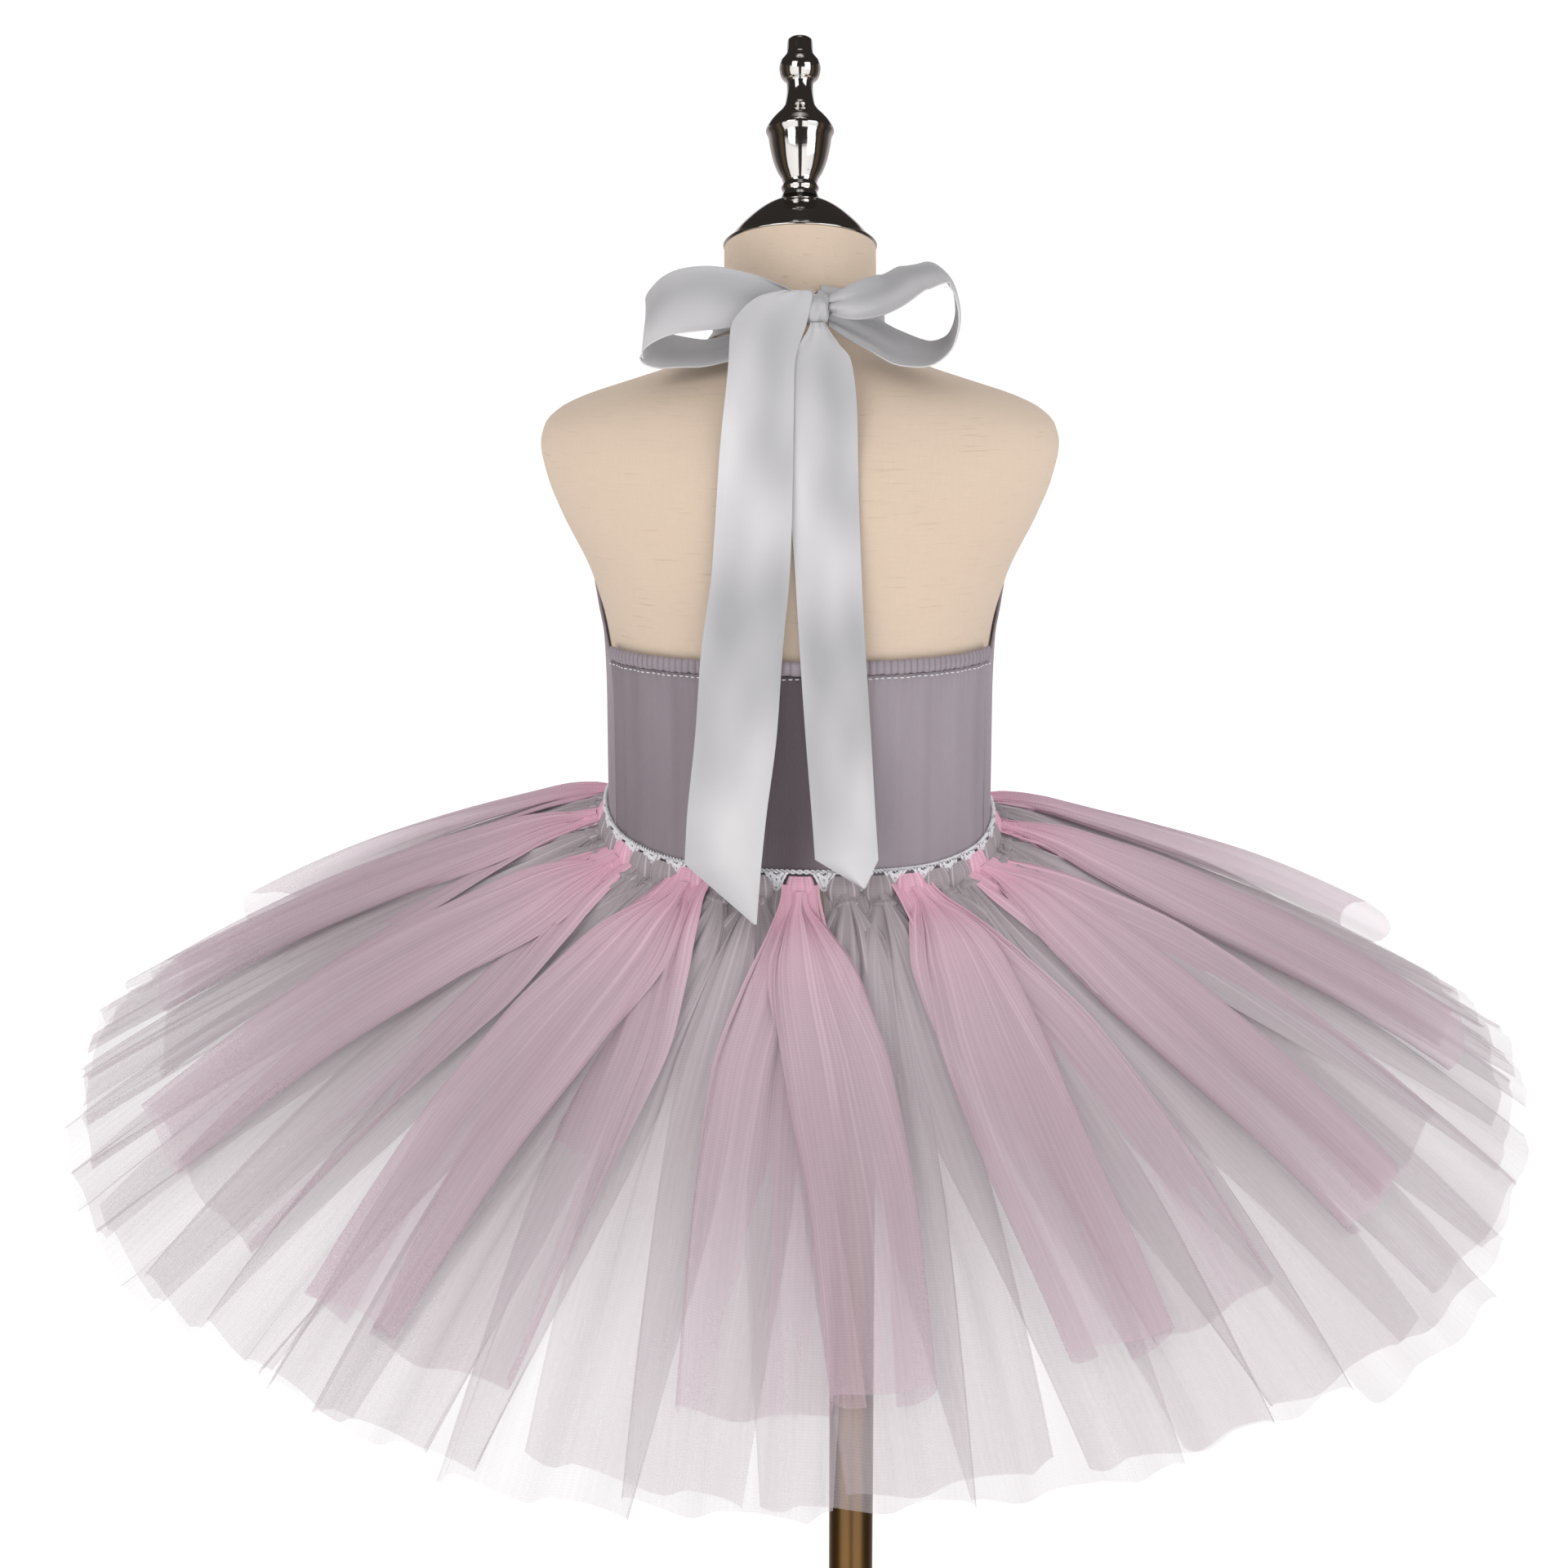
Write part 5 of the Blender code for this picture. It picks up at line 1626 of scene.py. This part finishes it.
    def build(self) -> None:
        """Ties on every strip: one pink between each two pairs of grey."""
        for pink in range(12):
            middle = 30.0 * pink
            self.strip(Tone.PINK, pink, middle, middle, self.length_share(pink + 3))
            for side in (0, 1):
                grey = 2 * pink + side
                root, hem = middle + 10.0 * (1 + side), middle + 15.0 * (0.5 + side)
                self.strip(Tone.GREY, grey, root, hem, self.length_share(grey))


@dataclass
class Studio:
    """The plain pale floor, the soft light and the camera at the photo's angle."""

    target: tuple[float, float, float] = (-0.0107, -0.0061, 0.620)
    distance: float = 1.6
    pitch: float = math.radians(12.5)
    frame_width: float = 0.8506
    sensor: float = 36.0
    lit_height: float = 0.65
    floor_radius: float = 14.0
    floor_colour: Colour = (0.90, 0.90, 0.90)
    floor_shade: Colour = (0.87, 0.87, 0.88)
    floor_glow: float = 0.50
    daylight: float = 0.64
    backdrop: float = 1.03
    ceiling: Colour = (0.055, 0.048, 0.045)

    @staticmethod
    def aimed(name: str, data: bpy.types.ID, place: Vector, ahead: Vector) -> bpy.types.Object:
        """A camera or a lamp at a place, looking ahead."""
        made = new_object(name, data)
        made.location = place
        made.rotation_mode = "QUATERNION"
        made.rotation_quaternion = ahead.to_track_quat("-Z", "Y")
        return made

    def camera(self) -> None:
        """The camera."""
        back = Vector((0.0, -math.cos(self.pitch), math.sin(self.pitch)))
        place = Vector(self.target) + back * self.distance
        data = bpy.data.cameras.new("camera")
        data.sensor_width = self.sensor
        data.sensor_fit = "HORIZONTAL"
        data.lens = self.sensor * self.distance / self.frame_width
        data.clip_start, data.clip_end = 0.05, 60.0
        bpy.context.scene.camera = self.aimed("camera", data, place, -back)

    def floor(self) -> None:
        """A pale disc."""
        bench = Bench("pale_floor")
        haze = bench.noise(bench.place("Object"), 3.0, 2.0)
        sockets = {
            "Base Color": bench.blend(haze * 0.04, self.floor_colour, self.floor_shade),
            "Roughness": 0.9,
            "Emission Color": (1.0, 1.0, 1.0, 1.0),
            "Emission Strength": self.floor_glow,
        }
        turns = np.linspace(0.0, 2.0 * math.pi, 128, endpoint=False)
        radii = (0.001, 2.0, self.floor_radius)
        grid = np.array([[(r * math.cos(t), r * math.sin(t), 0.0) for t in turns] for r in radii])
        grid = grid / MM - np.array([*BODY_FROM_BOX_MIDDLE, WAIST_HEIGHT])
        disc = one_grid("floor", grid, bench.finish(sockets), closed=True, turned=True)
        disc.visible_glossy = False

    def lamp(self, name: str, place: Vector, size: float, power: float, colour: Colour) -> None:
        """A soft square lamp that faces the dress.

        Only the key casts shadows, and the back one doesn't show in polished metal.

        Args:
            name: Its name.
            place: Where it stands, in metres.
            size: Its side, in metres.
            power: Its power, in watts.
            colour: Its colour.
        """
        data = bpy.data.lights.new(name, "AREA")
        data.shape = "SQUARE"
        data.size = size
        data.energy = power
        data.color = colour
        data.use_shadow = name == "key"
        lamp = self.aimed(name, data, place, Vector((0.0, 0.0, self.lit_height)) - place)
        lamp.visible_glossy = name != "back"

    def world(self) -> None:
        """A pale room, with darker walls between its soft boxes in what polished metal shows."""
        world = bpy.data.worlds.new("pale_room")
        world.use_nodes = True
        shop = Shop(world.node_tree)
        world.node_tree.nodes.clear()
        direction = shop.wire("ShaderNodeTexCoord", output="Generated")
        parts = shop.node("ShaderNodeSeparateXYZ", None, {0: direction})
        x, y, z = (Wire(shop, socket) for socket in parts.outputs)
        share = shop.maths("MULTIPLY_ADD", shop.maths("ARCTAN2", x, y), 0.5 / math.pi, 0.5)
        half = [
            (0.000, (0.07, 0.06, 0.06)), (0.016, (0.07, 0.06, 0.06)),
            (0.026, (2.00, 2.00, 2.00)), (0.155, (1.80, 1.80, 1.80)),
            (0.172, (0.03, 0.03, 0.03)), (0.205, (0.17, 0.12, 0.07)),
            (0.260, (0.05, 0.04, 0.04)), (0.320, (0.14, 0.12, 0.11)),
            (0.400, (0.70, 0.64, 0.65)), (0.495, (1.15, 1.08, 1.10)),
        ]
        stops = half + [(1.0 - place, colour) for place, colour in reversed(half)]
        walls = shop.wire("ShaderNodeValToRGB", {"stops": stops}, {0: share})
        low = shop.maths("MULTIPLY_ADD", z, -12.0, 3.0, clamp=True)
        high = shop.maths("MULTIPLY_ADD", z, 14.0, -12.9, clamp=True)
        room = shop.blend(shop.maths("MAXIMUM", low, high), self.ceiling, walls)
        path = shop.node("ShaderNodeLightPath")
        glossy, straight = (Wire(shop, path.outputs[f"Is {kind} Ray"]) for kind in ("Glossy", "Camera"))
        sockets = {
            "Color": shop.blend(glossy, (1.0, 1.0, 1.0), room),
            "Strength": shop.maths("MULTIPLY_ADD", straight, self.backdrop - self.daylight, self.daylight),
        }
        light = shop.wire("ShaderNodeBackground", None, sockets)
        shop.node("ShaderNodeOutputWorld", None, {"Surface": light})
        world.cycles.sampling_method = "NONE"
        bpy.context.scene.world = world

    def build(self) -> None:
        """Builds the studio."""
        self.camera()
        self.floor()
        self.world()
        self.lamp("key", Vector((-1.5, -2.3, 2.3)), 1.5, 13.0, (1.0, 0.99, 0.97))
        self.lamp("fill", Vector((1.9, -1.9, 1.7)), 1.6, 12.0, (0.97, 0.98, 1.0))
        self.lamp("back", Vector((0.3, 2.4, 2.2)), 2.0, 10.0, (1.0, 1.0, 1.0))
        scene = bpy.context.scene
        scene.view_settings.view_transform = "Standard"
        scene.cycles.transparent_max_bounces = 28
        scene.cycles.diffuse_bounces = 1
        scene.cycles.max_bounces = 6


def main() -> None:
    """Builds the dress, its form and stand, and the studio round them."""
    logging.basicConfig(level=logging.INFO, format="%(message)s")
    body = Body()
    satin, cotton, knit = Satin().build(), Cotton().build(), Knit().build()
    grey = Tulle("tulle_grey", (0.675, 0.590, 0.625), (0.42, 0.365, 0.385)).build()
    pink = Tulle("tulle_pink", (0.700, 0.525, 0.600), (0.93, 0.50, 0.64)).build()
    Studio().build()
    DressForm(body, Linen().build(), Chrome().build(), Steel().build()).build()
    Bodice(body, knit, cotton).build()
    LaceEdging(body, cotton).build()
    Bow(body, satin).build()
    TulleSkirt(body, grey, pink).build()
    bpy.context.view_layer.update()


if __name__ == "__main__":
    main()
